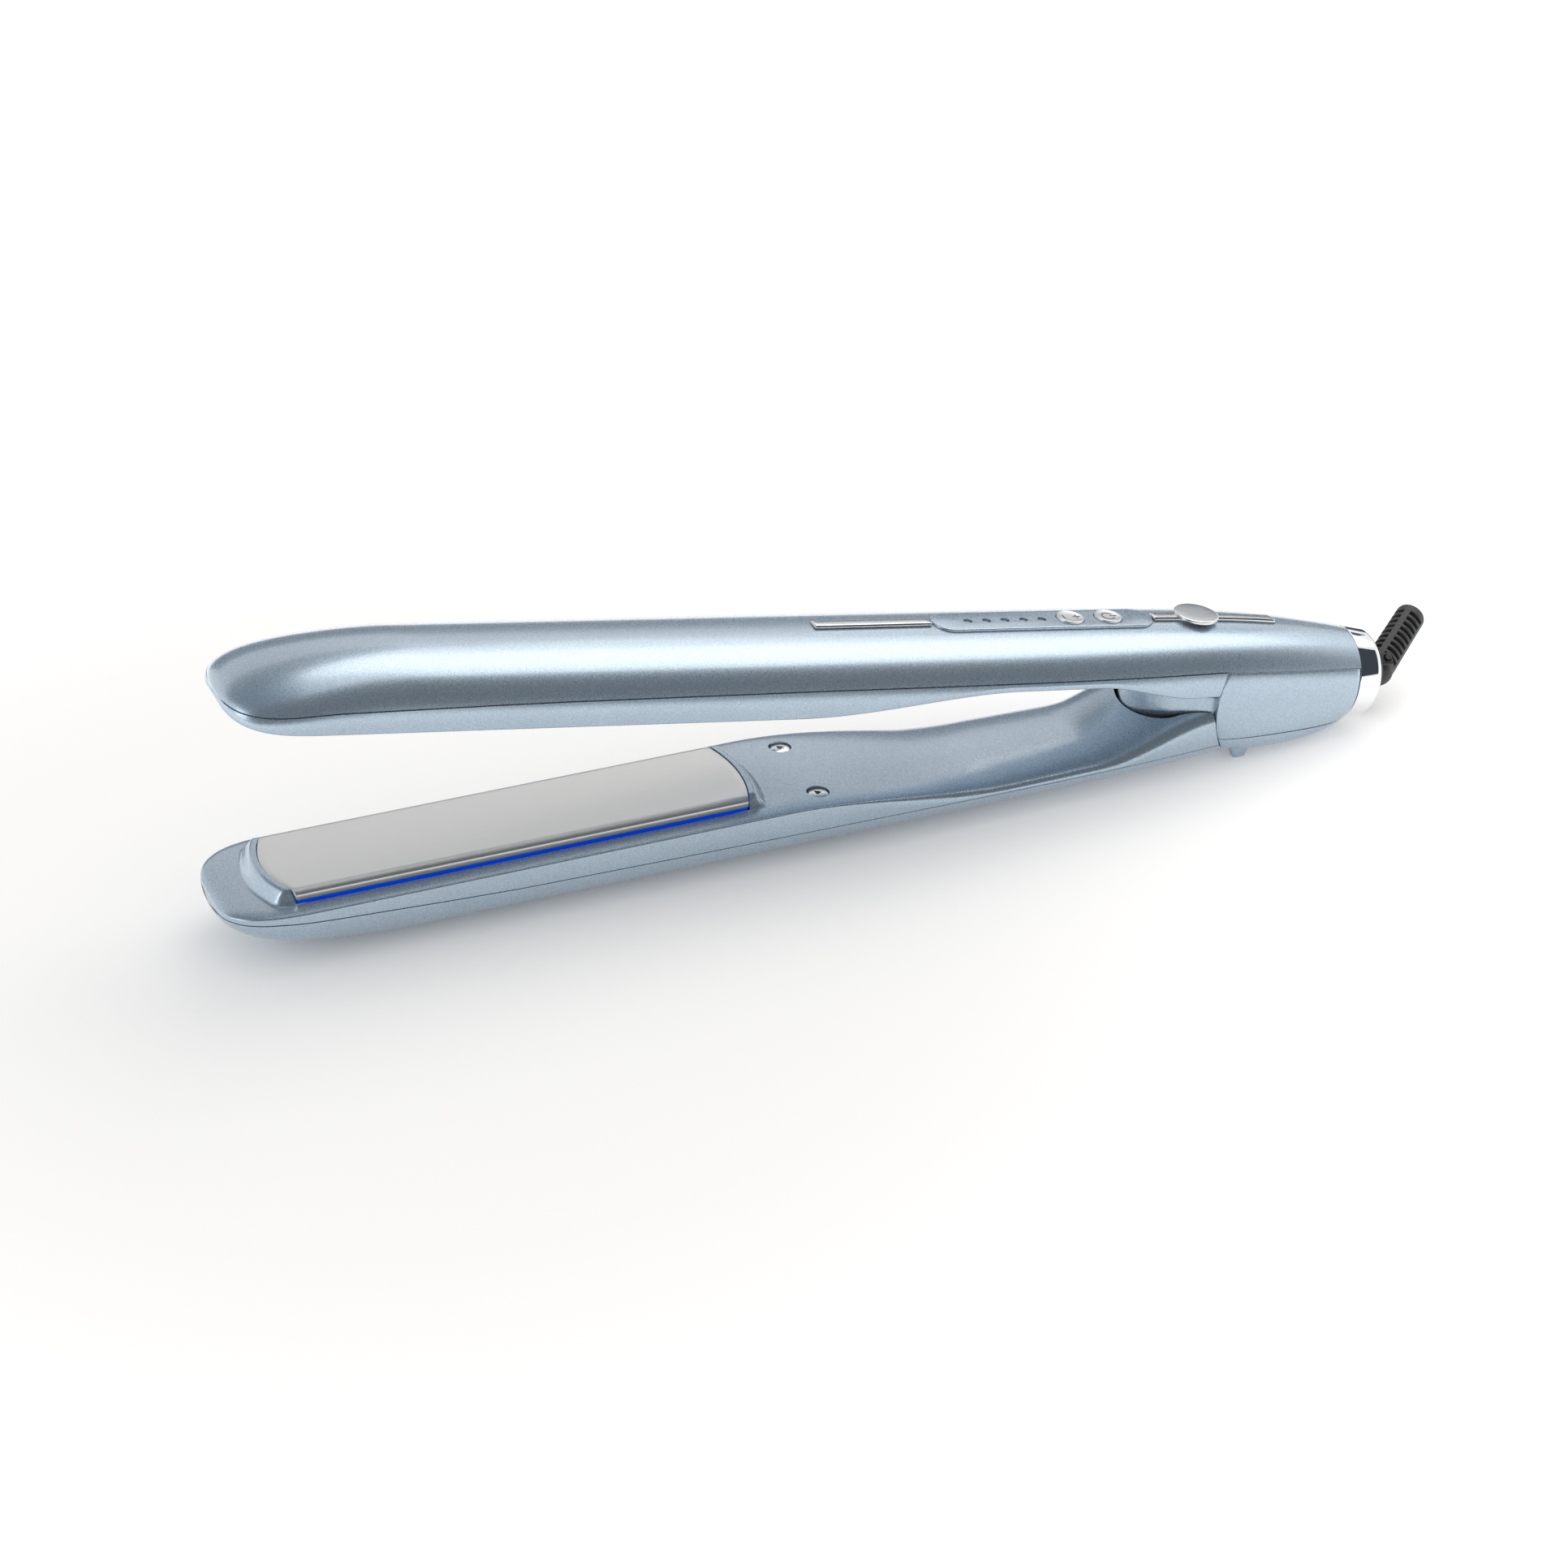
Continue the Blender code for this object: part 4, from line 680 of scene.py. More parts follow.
plated_steel = bare_metal("plated_steel", (0.78, 0.79, 0.80, 1.0), 0.22, 1.0, 0.10)
head_profile = [(0.0, 0.0), (-0.02 * MM, 1.2 * MM), (-0.10 * MM, 1.9 * MM), (-0.26 * MM, 2.35 * MM),
                (-0.42 * MM, screw_head), (-screw_head_height, screw_head), (-screw_head_height, screw_shank),
                (0.4 * MM - screw_length, screw_shank), (-screw_length, screw_tip), (-screw_length, 0.0)]
screw_master = turned_solid("lower_screw_left", head_profile, 48)
screw_master.data.transform(upright_at(0.0))
cut_through(screw_master, "socket", round_outline(socket_radius, 3), -socket_depth, 1 * MM)
for arm in (LOWER, UPPER):
    upright = Matrix.Identity(4) if arm == LOWER else Matrix.Rotation(math.pi, 4, "X")
    for side, y in (("left", -screw_y), ("right", screw_y)):
        head_z = arm * (inner_face(screw_x, arm) + screw_sink_depth)
        place = arm_place[arm] @ Matrix.Translation((screw_x, y, head_z)) @ upright
        screw = copy_piece(screw_master, f"{arm_name[arm]}_case_screw_{side}", place)
        fit(screw, 30, plated_steel, body=f"{arm_name[arm]}_arm", node=f"{arm_name[arm]}_screw_{side}")
bpy.data.objects.remove(screw_master, do_unlink=True)

# Heating plates: extruded aluminium ground flat, with a smooth grey ceramic coating.
# The long edges are rolled over so that hair slides off them. Each plate floats on its spring
# and is clipped to the blue carrier that shows as a strip along its side.
plate_face = {LOWER: -2.7 * MM, UPPER: 3.1 * MM}
plate_coat = bare_metal("coated_plate", (0.80, 0.795, 0.785, 1.0), 0.30, 30.0, 0.05, 0.85)
roll_width, roll_drop = 1.9 * MM, 1.15 * MM
skirt_drop = 1.05 * MM
roll_half = plate_half_width + 0.1 * MM
plate_overlap = 0.2 * MM


def rolled_top(row, column):
    """Face of a plate seen from the seam: flat, with the long edges rolled over."""
    across = (1 - math.cos(math.pi * column / 64)) / 2
    y = roll_half * (2 * across - 1)
    bow = 1 - (y / roll_half) ** 2
    front = plate_front_x - plate_overlap - plate_bow[-1] * bow
    rear = plate_rear_x + plate_overlap + plate_bow[1] * bow
    roll = max(abs(y) - roll_half + roll_width, 0.0) / roll_width
    drop = roll_drop * (1 - math.sqrt(max(1 - roll * roll, 0.0)))
    return Vector((front + (rear - front) * row / 60, y, -drop))


plate_master = laid_grid("plate", 60, 64, rolled_top)
edit_all(plate_master)
bpy.ops.mesh.extrude_region_move(TRANSFORM_OT_translate={"value": (0.0, 0.0, -0.1 * MM)})
bpy.ops.transform.resize(value=(1.0, 1.0, 0.0), center_override=(0.0, 0.0, -roll_drop - skirt_drop))
bpy.ops.object.mode_set(mode="OBJECT")
tidy_mesh(plate_master)
ease_edges(plate_master, 0.15 * MM, 3, 70)
for arm in (LOWER, UPPER):
    upright = Matrix.Identity(4) if arm == LOWER else Matrix.Diagonal((1.0, 1.0, -1.0, 1.0))
    place = arm_place[arm] @ Matrix.Translation((0.0, 0.0, arm * plate_face[arm])) @ upright
    plate = copy_piece(plate_master, f"{arm_name[arm]}_heating_plate_skin", place)
    tidy_mesh(plate)
    fit(plate, 30, plate_coat, body=f"{arm_name[arm]}_heating_plate", node=f"{arm_name[arm]}_plate")
bpy.data.objects.remove(plate_master, do_unlink=True)

# Back moulding of the upper arm, which runs on over the hinge as far as the chrome ring.
# Injection-moulded plastic with the pearl lacquer, one piece from the nose to the ring, with seats
# let into its crest for the trim bar, the control pad and the lock rail.
trim_ends = (-123.6 * MM, -93.2 * MM)
rail_ends = (-32.4 * MM, 2.0 * MM)
trim_half = 1.6 * MM
trim_proud = 0.9 * MM
seat_depth = 0.8 * MM
seat_gap = 0.3 * MM
groove = 0.1 * MM
cut_low, cut_high = 5 * MM, 30 * MM
pad_ends = (-92.4 * MM, -32.8 * MM)
pad_half = 4.7 * MM
pad_top = 16.5 * MM
led_x = [(-82.8 + 5.0 * step) * MM for step in range(5)]
led_radius = 1.0 * MM
key_x = {"temperature": -55.1 * MM, "power": -44.7 * MM}
key_radius = 3.4 * MM


def crest_strip(name, ends, half, low, high, crown):
    """A bar that follows the crest of the upper arm, with eased top edges."""
    places = spread(ends[0], ends[1], 30)
    ring = [(-half, low), (-half, high - crown), (-half + crown, high),
            (half - crown, high), (half, high - crown), (half, low)]

    def place(row, column):
        y, z = ring[column % len(ring)]
        return Vector((places[row], y, back_depth(places[row]) + z))

    piece = laid_grid(name, len(places) - 1, len(ring), place)
    tidy_mesh(piece)
    close_ends(piece)
    return piece


def stadium(ends, half, steps):
    """Plan of a pad with half-round ends."""
    turns = spread(-math.pi / 2, math.pi / 2, steps)
    rear = [(ends[1] - half + half * math.cos(turn), half * math.sin(turn)) for turn in turns]
    front = [(ends[0] + half - half * math.cos(turn), -half * math.sin(turn)) for turn in turns]
    return rear + front


def grown(ends, margin):
    return ends[0] - margin, ends[1] + margin


upper_back = outer_shell(UPPER, 24.0 * MM)
upper_back.data.transform(upper_place.inverted())
for ends in (trim_ends, rail_ends):
    margin = seat_gap / 2
    seat = crest_strip("seat", grown(ends, margin), trim_half + margin, -seat_depth, 4 * MM, 0.1 * MM)
    shape_with(upper_back, seat)
pad_low = back_depth(pad_ends[1]) - seat_depth + seat_gap
pad_seat = stadium(grown(pad_ends, groove), pad_half + groove, 24)
cut_through(upper_back, "pad_seat", pad_seat, pad_low - seat_gap, cut_high)
for x in key_x.values():
    cut_through(upper_back, "key_hole", round_outline(key_radius + seat_gap, 48, x), cut_low, cut_high)
upper_back.data.transform(upper_place)
fit(upper_back, 40, shell_paint, body="upper_arm", node="upper_outer_shell")

# Inner moulding of the upper arm: the flat strip under the parting line and the rim round the plate.
# Plastic with the pearl lacquer, troughed at both ends of the plate for the lower arm's ribs,
# opened at the rear for the hinge block, and stopped at the round in front of the side panels.
upper_inner = inner_form("upper_inner_moulding", UPPER, -9 * MM, plate_recess)
shape_with(upper_inner, inner_form("upper_core", UPPER, -4 * MM, plate_recess, shell_wall))
cut_through(upper_inner, "plate_window", plate_outline(turn_gap, turn_gap))
block_room = [(-35.3 * MM, -8.3 * MM), (boss_rear_x, -10.3 * MM), (0.0, -10.3 * MM), (0.0, 10.3 * MM),
              (boss_rear_x, 10.3 * MM), (-35.3 * MM, 8.3 * MM)]
cut_through(upper_inner, "block_room", block_room)
sink_screws(upper_inner)
upper_inner.data.transform(upper_place)
shape_with(upper_inner, hinge_cutter(panel_radius + 0.3 * MM))
fit(upper_inner, 35, shell_paint, body="upper_arm", node="upper_inner_shell")

# Hinge block of the upper arm, a thick painted moulding that holds the pin between two cheeks.
# Its rounded boss fills the gap between the arms in front of the hinge and dips into the lower arm.
block_top = 7.6 * MM
hinge_block = boss_form("hinge_block_moulding", boss_top, -boss_drop, 0.0)
ease_edges(hinge_block, 0.9 * MM, 5, 60)
crown_plan = [(-35.0 * MM, -8 * MM), (boss_rear_x, -10 * MM), (boss_rear_x, 10 * MM), (-35.0 * MM, 8 * MM)]
shape_with(hinge_block, drawn_solid("block_crown", crown_plan, 0.0, block_top), "UNION")
cheek_plan = box_plan(-22.1 * MM, 8 * MM, -9.4 * MM, 9.4 * MM)
shape_with(hinge_block, drawn_solid("block_cheeks", cheek_plan, -6.5 * MM, block_top), "UNION")
lug_slot = box_plan(-34.0 * MM, 6 * MM, -5.4 * MM, 6.2 * MM)
cut_through(hinge_block, "lug_slot", lug_slot, -20 * MM, 5.8 * MM)
lug_notch = box_plan(-38 * MM, -33 * MM, -5.4 * MM, 1.4 * MM)
cut_through(hinge_block, "lug_notch", lug_notch, -20 * MM, -7.6 * MM)
hook_window = box_plan(-33.3 * MM, -18.3 * MM, -5.2 * MM, 6.0 * MM)
cut_through(hinge_block, "hook_window", hook_window, 2.0 * MM, 12 * MM)
cut_through(hinge_block, "pin_bore", round_outline(2.3 * MM, 40), -20 * MM, 20 * MM, "Y")
hinge_block.data.transform(upper_place)
fit(hinge_block, 35, shell_paint, body="upper_arm", node="hinge_block")

# Side panels of the hinge housing, left and right, which hide the ends of the pin.
# Thin painted mouldings snapped into the housing, with a round front edge
# that the lower arm turns against.
panel_wall = 2.0 * MM
panel_rear_x = 24.0 * MM
panel_front = (-10.2 * MM, 8.06 * MM)
panel_rear = (-8.2 * MM, 5.66 * MM)


def housing_power(x, z):
    share = min(max((x + panel_radius) / (ring_front_x + panel_radius), 0.0), 1.0)
    return back_power(x) + (4.0 * math.sin(math.pi * share) if z < 0 else 0.0)


def housing_half(x, z):
    power = housing_power(x, z)
    return half_width(x) * max(1 - (abs(z) / back_depth(x)) ** power, 0.0) ** (1 / power)


def panel_point(row, column):
    share = column / 24
    z_front = panel_front[0] + (panel_front[1] - panel_front[0]) * share
    z_rear = panel_rear[0] + (panel_rear[1] - panel_rear[0]) * share
    x_front = -math.sqrt(panel_radius ** 2 - z_front ** 2)
    x = x_front + (panel_rear_x - x_front) * row / 40
    z = z_front + (z_rear - z_front) * row / 40
    return Vector((x, -housing_half(x, z), z))


panel_master = laid_grid("side_panel", 40, 24, panel_point)
moulded_wall(panel_master, panel_wall, False)
ease_edges(panel_master, 0.12 * MM, 2, 50)
for side, flip in (("left", 1), ("right", -1)):
    place = upper_place @ Matrix.Diagonal((1.0, flip, 1.0, 1.0))
    panel = copy_piece(panel_master, f"{side}_side_panel", place)
    tidy_mesh(panel)
    fit(panel, 40, shell_paint, body="upper_arm", node=f"side_panel_{side}")
bpy.data.objects.remove(panel_master, do_unlink=True)

# Bottom cover of the hinge housing, between the two side panels.
# A painted moulding held by clips, hollow, with the same round front edge as the panels.
cover_front = -10.5 * MM
cover_rear = -8.5 * MM


def cover_place(x, share):
    """Point on the cover's section at x, from its side edge to the keel."""
    edge = cover_front + (cover_rear - cover_front) * (x + panel_radius) / (panel_rear_x + panel_radius)
    power = housing_power(x, -1.0)
    deep = back_depth(x)
    start = math.asin(min(abs(edge) / deep, 1.0) ** (power / 2))
    angle = start + (math.pi / 2 - start) * share
    across = half_width(x) * max(math.cos(angle), 0.0) ** (2 / power)
    return across, -deep * math.sin(angle) ** (2 / power)


def cover_start(share):
    """Place along the arm where the cover's line meets the round in front."""
    low, high = -panel_radius, 0.0
    for step in range(50):
        mid = (low + high) / 2
        if math.hypot(mid, cover_place(mid, share)[1]) > panel_radius:
            low = mid
        else:
            high = mid
    return high


cover_starts = [cover_start(step / 28) for step in range(29)]


def cover_point(row, column):
    x = cover_starts[column] + (panel_rear_x - cover_starts[column]) * row / 44
    y, z = cover_place(x, column / 28)
    return Vector((x, -y, z))


bottom_cover = laid_grid("bottom_cover", 44, 28, cover_point)
moulded_wall(bottom_cover, panel_wall)
ease_edges(bottom_cover, 0.12 * MM, 2, 50)
bottom_cover.data.transform(upper_place)
fit(bottom_cover, 40, shell_paint, body="upper_arm", node="rear_bottom_cover")

# Two small feet under the bottom cover, which keep the warm end off the table.
# Painted fins moulded on the cover, tapered towards the ground and rounded at the toe.
foot_y = 10.5 * MM
foot_x = -8.9 * MM
foot_half_length = 2.7 * MM
foot_half_width = 1.5 * MM
foot_slope = 0.9 * MM
foot_round = 0.5 * MM
foot_draft = 0.3 * MM
foot_root = 0.7 * MM
level_turn = Matrix.Rotation(-opening, 4, "Y")


def cover_height(x, y):
    """Height of the cover's underside over the ground frame at a place in the level frame."""
    z = -14 * MM
    for step in range(12):
        local = level_turn @ Vector((x, y, z))
        power = housing_power(local.x, -1.0)
        share = min(abs(y) / half_width(local.x), 0.999)
        surface = -back_depth(local.x) * (1 - share ** power) ** (1 / power)
        z += surface - local.z
    return z


def foot_point(row, column):
    """Rings down the side of a foot and round its toe, closed by a point at each end."""
    ring = min(max(column, 1), 13)
    drop = min(ring - 1, 8) / 8
    curl = math.pi / 2 * max(ring - 9, 0) / 4
    inset = foot_round * (1 - math.cos(curl))
    turn = 2 * math.pi * (row % 48) / 48
    reach = 0.0 if column in (0, 14) else 1.0
    long = (foot_half_length - foot_slope * drop ** 1.3 - inset) * reach
    wide = (foot_half_width - foot_draft * drop - inset) * reach
    x = foot_x + long * math.copysign(abs(math.cos(turn)) ** 0.6, math.cos(turn))
    y = foot_y + wide * math.copysign(abs(math.sin(turn)) ** 0.6, math.sin(turn))
    top = cover_height(x, y) + foot_root
    shoulder = foot_round - hinge.z
    return Vector((x, y, top + (shoulder - top) * drop - foot_round * math.sin(curl)))


foot_master = laid_grid("rest_foot", 48, 14, foot_point)
tidy_mesh(foot_master)
for side, flip in (("left", -1), ("right", 1)):
    place = lower_place @ Matrix.Diagonal((1.0, flip, 1.0, 1.0))
    foot = copy_piece(foot_master, f"{side}_rest_foot", place)
    tidy_mesh(foot)
    fit(foot, 40, shell_paint, body="upper_arm", node=f"rest_foot_{side}")
bpy.data.objects.remove(foot_master, do_unlink=True)

# Chrome ring at the rear end, pressed over the housing and the panels.
# Moulded plastic with bright chrome plating, slightly tapered and rounded over at the rear.
ring_end_x = 31.7 * MM
ring_round = 2.2 * MM
ring_taper = 0.7 * MM
ring_bore = 8.4 * MM
ring_edge = 0.25 * MM
chrome = bare_metal("bright_chrome", (0.86, 0.87, 0.88, 1.0), 0.045, 1.0, 0.02)
ring_profile = [(ring_front_x, ring_bore), (ring_front_x, ring_radius - ring_edge)]
for turn in spread(0.0, math.pi / 2, 5):
    ring_profile.append((ring_front_x + ring_edge * (1 - math.cos(turn)),
                         ring_radius - ring_edge * (1 - math.sin(turn))))
for turn in spread(0.0, math.pi / 2, 16):
    ring_profile.append((ring_end_x - ring_round + ring_round * math.sin(turn),
                         ring_radius - ring_taper - ring_round * (1 - math.cos(turn))))
ring_profile += [(ring_end_x, ring_bore), (ring_front_x, ring_bore)]
end_ring = turned_solid("chrome_end_ring", ring_profile, 160)
end_ring.data.transform(upper_place)
fit(end_ring, 35, chrome, body="upper_arm", node="end_ring")

# Swivel cup that turns in the ring so that the cord doesn't twist.
# Black glass-filled nylon, moulded with a round socket and two ears that hold the tilt pins.
ball_x = 36.3 * MM
swivel_turn = math.radians(34.3)
ball_room = 4.5 * MM
cup_mouth_x = -2.0 * MM
cord_bore = 2.2 * MM
ear_height, ear_wall = 4.6 * MM, 1.3 * MM
cup_place = upper_place @ Matrix.Translation((ball_x, 0.0, 0.0)) @ Matrix.Rotation(swivel_turn, 4, "X")


def mixed_colour(tree, share, first, second):
    node = tree.nodes.new("ShaderNodeMix")
    node.data_type = "RGBA"
    join(tree, share, node.inputs["Factor"])
    for socket, value in zip((node.inputs[6], node.inputs[7]), (first, second)):
        if isinstance(value, tuple):
            socket.default_value = value
        else:
            join(tree, value, socket)
    return node.outputs[2]


# Spark-eroded mould surface: a fine even grain that darkens and roughens the plastic.
cast, cast_in, cast_out = make_group(
    "cast_grain",
    [("Colour", "NodeSocketColor", (0.5, 0.5, 0.5, 1.0)), ("Dark", "NodeSocketColor", (0.4, 0.4, 0.4, 1.0)),
     ("Gloss", "NodeSocketFloat", 0.4), ("Grain", "NodeSocketFloat", 1000.0)],
    [("Colour", "NodeSocketColor"), ("Roughness", "NodeSocketFloat"), ("Height", "NodeSocketFloat")])
cast_noise = cast.nodes.new("ShaderNodeTexNoise")
cast_noise.inputs["Detail"].default_value = 4.0
join(cast, cast.nodes.new("ShaderNodeTexCoord").outputs["Object"], cast_noise.inputs["Vector"])
join(cast, cast_in.outputs["Grain"], cast_noise.inputs["Scale"])
cast_grain = cast_noise.outputs["Fac"]
join(cast, mixed_colour(cast, cast_grain, cast_in.outputs["Dark"], cast_in.outputs["Colour"]),
     cast_out.inputs["Colour"])
join(cast, math_node(cast, "ADD", math_node(cast, "MULTIPLY", cast_grain, 0.2), cast_in.outputs["Gloss"]),
     cast_out.inputs["Roughness"])
join(cast, cast_grain, cast_out.inputs["Height"])


def cast_plastic(name, colour, gloss, grain, strength):
    dark = tuple(value * (1 - strength) for value in colour[:3]) + (1.0,)
    values = {"Colour": colour, "Dark": dark, "Gloss": gloss, "Grain": grain}
    return grained_material(name, cast, values, 0.15, 0.05 * MM)[0]


black_nylon = cast_plastic("dark_nylon", (0.022, 0.023, 0.025, 1.0), 0.36, 2600.0, 0.35)
cup_profile = [(-14.3 * MM, cord_bore), (-14.3 * MM, 9.1 * MM), (-12.3 * MM, 9.1 * MM),
               (-12.3 * MM, 8.0 * MM), (-5.2 * MM, 8.0 * MM), (-2.6 * MM, 6.65 * MM),
               (-2.1 * MM, 6.35 * MM), (cup_mouth_x, 6.0 * MM)]
for turn in spread(math.acos(-cup_mouth_x / ball_room), math.asin(cord_bore / ball_room), 14):
    cup_profile.append((-ball_room * math.cos(turn), ball_room * math.sin(turn)))
cup_profile.append(cup_profile[0])
swivel_cup = turned_solid("swivel_socket", cup_profile, 96)
ear_plan = box_plan(-4 * MM, 1.5 * MM, -1.7 * MM, 1.7 * MM)
for low in (ear_height, -ear_height - ear_wall):
    ear = drawn_solid("ear", ear_plan, low, low + ear_wall)
    ease_edges(ear, 0.4 * MM, 3, 60)
    shape_with(swivel_cup, ear, "UNION")
cut_through(swivel_cup, "pin_hole", round_outline(1.1 * MM, 24), -12 * MM, 12 * MM)
swivel_cup.data.transform(cup_place)
fit(swivel_cup, 35, black_nylon, body="cord_swivel", node="swivel_cup")

# Strain relief that the cord leaves through, tilted up behind the ring.
# Black rubber moulded on a ball, with rows of slots between four plain spines so that it bends evenly.
relief_tilt = math.radians(45)
slot_count = 9
slot_pitch = 2.05 * MM
slot_width = 1.05 * MM
slot_depth = 1.1 * MM
relief_start = 2.2 * MM
relief_end = 22.4 * MM
relief_radius, relief_tip = 4.05 * MM, 3.8 * MM
ball_radius, relief_bore = 4.2 * MM, 1.9 * MM
slot_edge, slot_draft = 0.15 * MM, 0.04 * MM
spine_count, spine_half = 4, 0.75 * MM
spine_turn = math.radians(-28)
relief_place = cup_place @ Matrix.Rotation(relief_tilt, 4, "Z")
black_rubber = cast_plastic("black_rubber", (0.050, 0.052, 0.055, 1.0), 0.42, 1800.0, 0.4)
relief_profile = []
for turn in spread(math.asin(relief_bore / ball_radius), math.pi / 2, 14):
    relief_profile.append((-ball_radius * math.cos(turn), ball_radius * math.sin(turn)))
relief_profile.append((0.6 * MM, relief_radius))
for slot in range(slot_count):
    slot_x = relief_start + slot * slot_pitch
    radius = relief_radius + (relief_tip - relief_radius) * slot / slot_count
    slot_end = slot_x + slot_width
    floor_radius = radius - slot_depth
    relief_profile += [(slot_x - slot_edge, radius), (slot_x, radius - slot_edge),
                       (slot_x + slot_draft, floor_radius), (slot_end - slot_draft, floor_radius),
                       (slot_end, radius - slot_edge), (slot_end + slot_edge, radius)]
relief_profile += [(relief_end - 1.0 * MM, relief_tip), (relief_end - 0.4 * MM, relief_tip - 0.25 * MM),
                   (relief_end, relief_tip - 0.85 * MM), (relief_end, relief_bore), relief_profile[0]]
strain_relief = turned_solid("cord_strain_relief", relief_profile, 64)
spine_start, spine_end = relief_start - 0.6 * MM, relief_end - 1.3 * MM
spine_outline = [(spine_start, 2.4 * MM), (spine_end, 2.4 * MM), (spine_end, relief_tip - 0.02 * MM),
                 (spine_start, relief_radius - 0.02 * MM)]
for step in range(spine_count):
    spine = drawn_solid("spine", spine_outline, -spine_half, spine_half, "Y")
    spine.data.transform(Matrix.Rotation(spine_turn + 2 * math.pi * step / spine_count, 4, "X"))
    shape_with(strain_relief, spine, "UNION")
strain_relief.data.transform(relief_place)
fit(strain_relief, 30, black_rubber, body="cord_relief", node="strain_relief")

# Trim bar on the crest of the upper arm, in front of the control pad.
# Satin chrome on moulded plastic, let into its seat, with bright bevelled edges.
trim_crown = 0.35 * MM
strip_low = seat_gap - seat_depth
satin_chrome = bare_metal("satin_chrome", (0.80, 0.81, 0.82, 1.0), 0.24, 20.0, 0.08)
trim_bar = crest_strip("crest_trim_bar", trim_ends, trim_half, strip_low, trim_proud, trim_crown)
ease_edges(trim_bar, 0.12 * MM, 3, 40)
trim_bar.data.transform(upper_place)
fit(trim_bar, 30, satin_chrome, body="upper_arm", node="trim_bar")

# Control pad let into the crest of the upper arm, with holes for the lights and the two keys.
# A painted moulding with half-round ends, a little proud of the arm, with a fine groove round it.
control_pad = drawn_solid("control_pad_moulding", stadium(pad_ends, pad_half, 32), pad_low, pad_top)
ease_edges(control_pad, 0.3 * MM, 4, 60)
for x in led_x:
    cut_through(control_pad, "led_hole", round_outline(led_radius + 0.12 * MM, 32, x), cut_low, cut_high)
for x in key_x.values():
    cut_through(control_pad, "key_hole", round_outline(key_radius + 0.2 * MM, 64, x), cut_low, cut_high)
control_pad.data.transform(upper_place)
fit(control_pad, 35, shell_paint, body="upper_arm", node="control_pad")

# Light guide under the pad with five round windows that show the chosen temperature.
# Clear plastic moulded in one piece, its windows frosted and a little domed.
light_plastic = cast_plastic("light_guide", (0.30, 0.32, 0.34, 1.0), 0.18, 900.0, 0.1)
guide_top = back_depth(led_x[0]) - 2.3 * MM
guide_half, guide_wall = 1.6 * MM, 1.2 * MM
guide_plan = box_plan(led_x[0] - guide_half, led_x[-1] + guide_half, -guide_half, guide_half)
light_guide = drawn_solid("temperature_lights", guide_plan, guide_top - guide_wall, guide_top)
window_top = pad_top - 0.25 * MM
window_low = guide_top - guide_wall / 2
window_profile = [(window_low, 0.0), (window_low, led_radius), (window_top - 0.35 * MM, led_radius),
                  (window_top - 0.12 * MM, 0.65 * MM), (window_top - 0.02 * MM, 0.3 * MM), (window_top, 0.0)]
for x in led_x:
    window = turned_solid("window", window_profile, 32)
    window.data.transform(upright_at(x))
    shape_with(light_guide, window, "UNION")
light_guide.data.transform(upper_place)
fit(light_guide, 35, light_plastic, body="upper_arm", node="led_light_guide")

# Two round keys in the pad: minus and plus for the temperature, and the power key.
# Silver-painted plastic, slightly dished, with a raised rim and an engraved sign whose groove is painted
# darker as shade.
key_top = 17.1 * MM
key_dish = 0.2 * MM
key_sign_depth = 0.16 * MM
key_silver = bare_metal("silver_key", (0.70, 0.72, 0.74, 1.0), 0.34, 1.0, 0.05, 0.6)
# Darker grey for the groove of each sign: painted shade in the engraving.
groove_painted_shade = bare_metal("engraved_sign_painted_shade", (0.30, 0.33, 0.37, 1.0), 0.5, 1.0, 0.05, 0.3)


def arc_plan(x, radius, half, gap):
    """Plan of an open ring whose gap faces the rear."""
    outer = [(x + (radius + half) * math.cos(turn), (radius + half) * math.sin(turn))
             for turn in spread(gap, 2 * math.pi - gap, 40)]
    inner = [(x + (radius - half) * math.cos(turn), (radius - half) * math.sin(turn))
             for turn in spread(2 * math.pi - gap, gap, 40)]
    return outer + inner


def bar_sign(x, along, across):
    return box_plan(x - along, x + along, -across, across)


line_half = 0.2 * MM
minus_x, plus_x, sign_half = key_x["temperature"] - 1.8 * MM, key_x["temperature"] + 1.6 * MM, 1.0 * MM
power_x, arc_radius, arc_half, arc_gap = key_x["power"], 1.6 * MM, 0.22 * MM, 0.6
key_signs = {
    "temperature": [bar_sign(minus_x, line_half, sign_half), bar_sign(plus_x, line_half, sign_half),
                    bar_sign(plus_x, sign_half, line_half)],
    "power": [arc_plan(power_x, arc_radius, arc_half, arc_gap),
              bar_sign(power_x + 1.3 * MM, 0.9 * MM, arc_half)]}
for name, x in key_x.items():
    flange_top = back_depth(x) - 2.5 * MM
    key_low = flange_top - 0.8 * MM
    key_profile = [(key_low, 0.0), (key_low, 4.1 * MM), (flange_top, 4.1 * MM), (flange_top, key_radius),
                   (key_top - 0.25 * MM, key_radius), (key_top - 0.08 * MM, key_radius - 0.08 * MM),
                   (key_top, key_radius - 0.25 * MM), (key_top - 0.03 * MM, key_radius - 0.5 * MM),
                   (key_top - 0.14 * MM, key_radius - 0.75 * MM), (key_top - key_dish, 1.6 * MM),
                   (key_top - key_dish, 0.0)]
    key = turned_solid(f"{name}_key_cap", key_profile, 72)
    key.data.transform(upright_at(x))
    finish_with(key, key_silver)
    for sign in key_signs[name]:
        tool = drawn_solid("sign", sign, key_top - key_dish - key_sign_depth, key_top + 1 * MM)
        # The groove faces take the darker grey, a painted shade in the engraving.
        finish_with(tool, groove_painted_shade)
        shape_with(key, tool, material_mode="TRANSFER")
    key.data.transform(upper_place)
    shade(key, 30)
    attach(key, f"{name}_key")
    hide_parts(f"{name}_button")

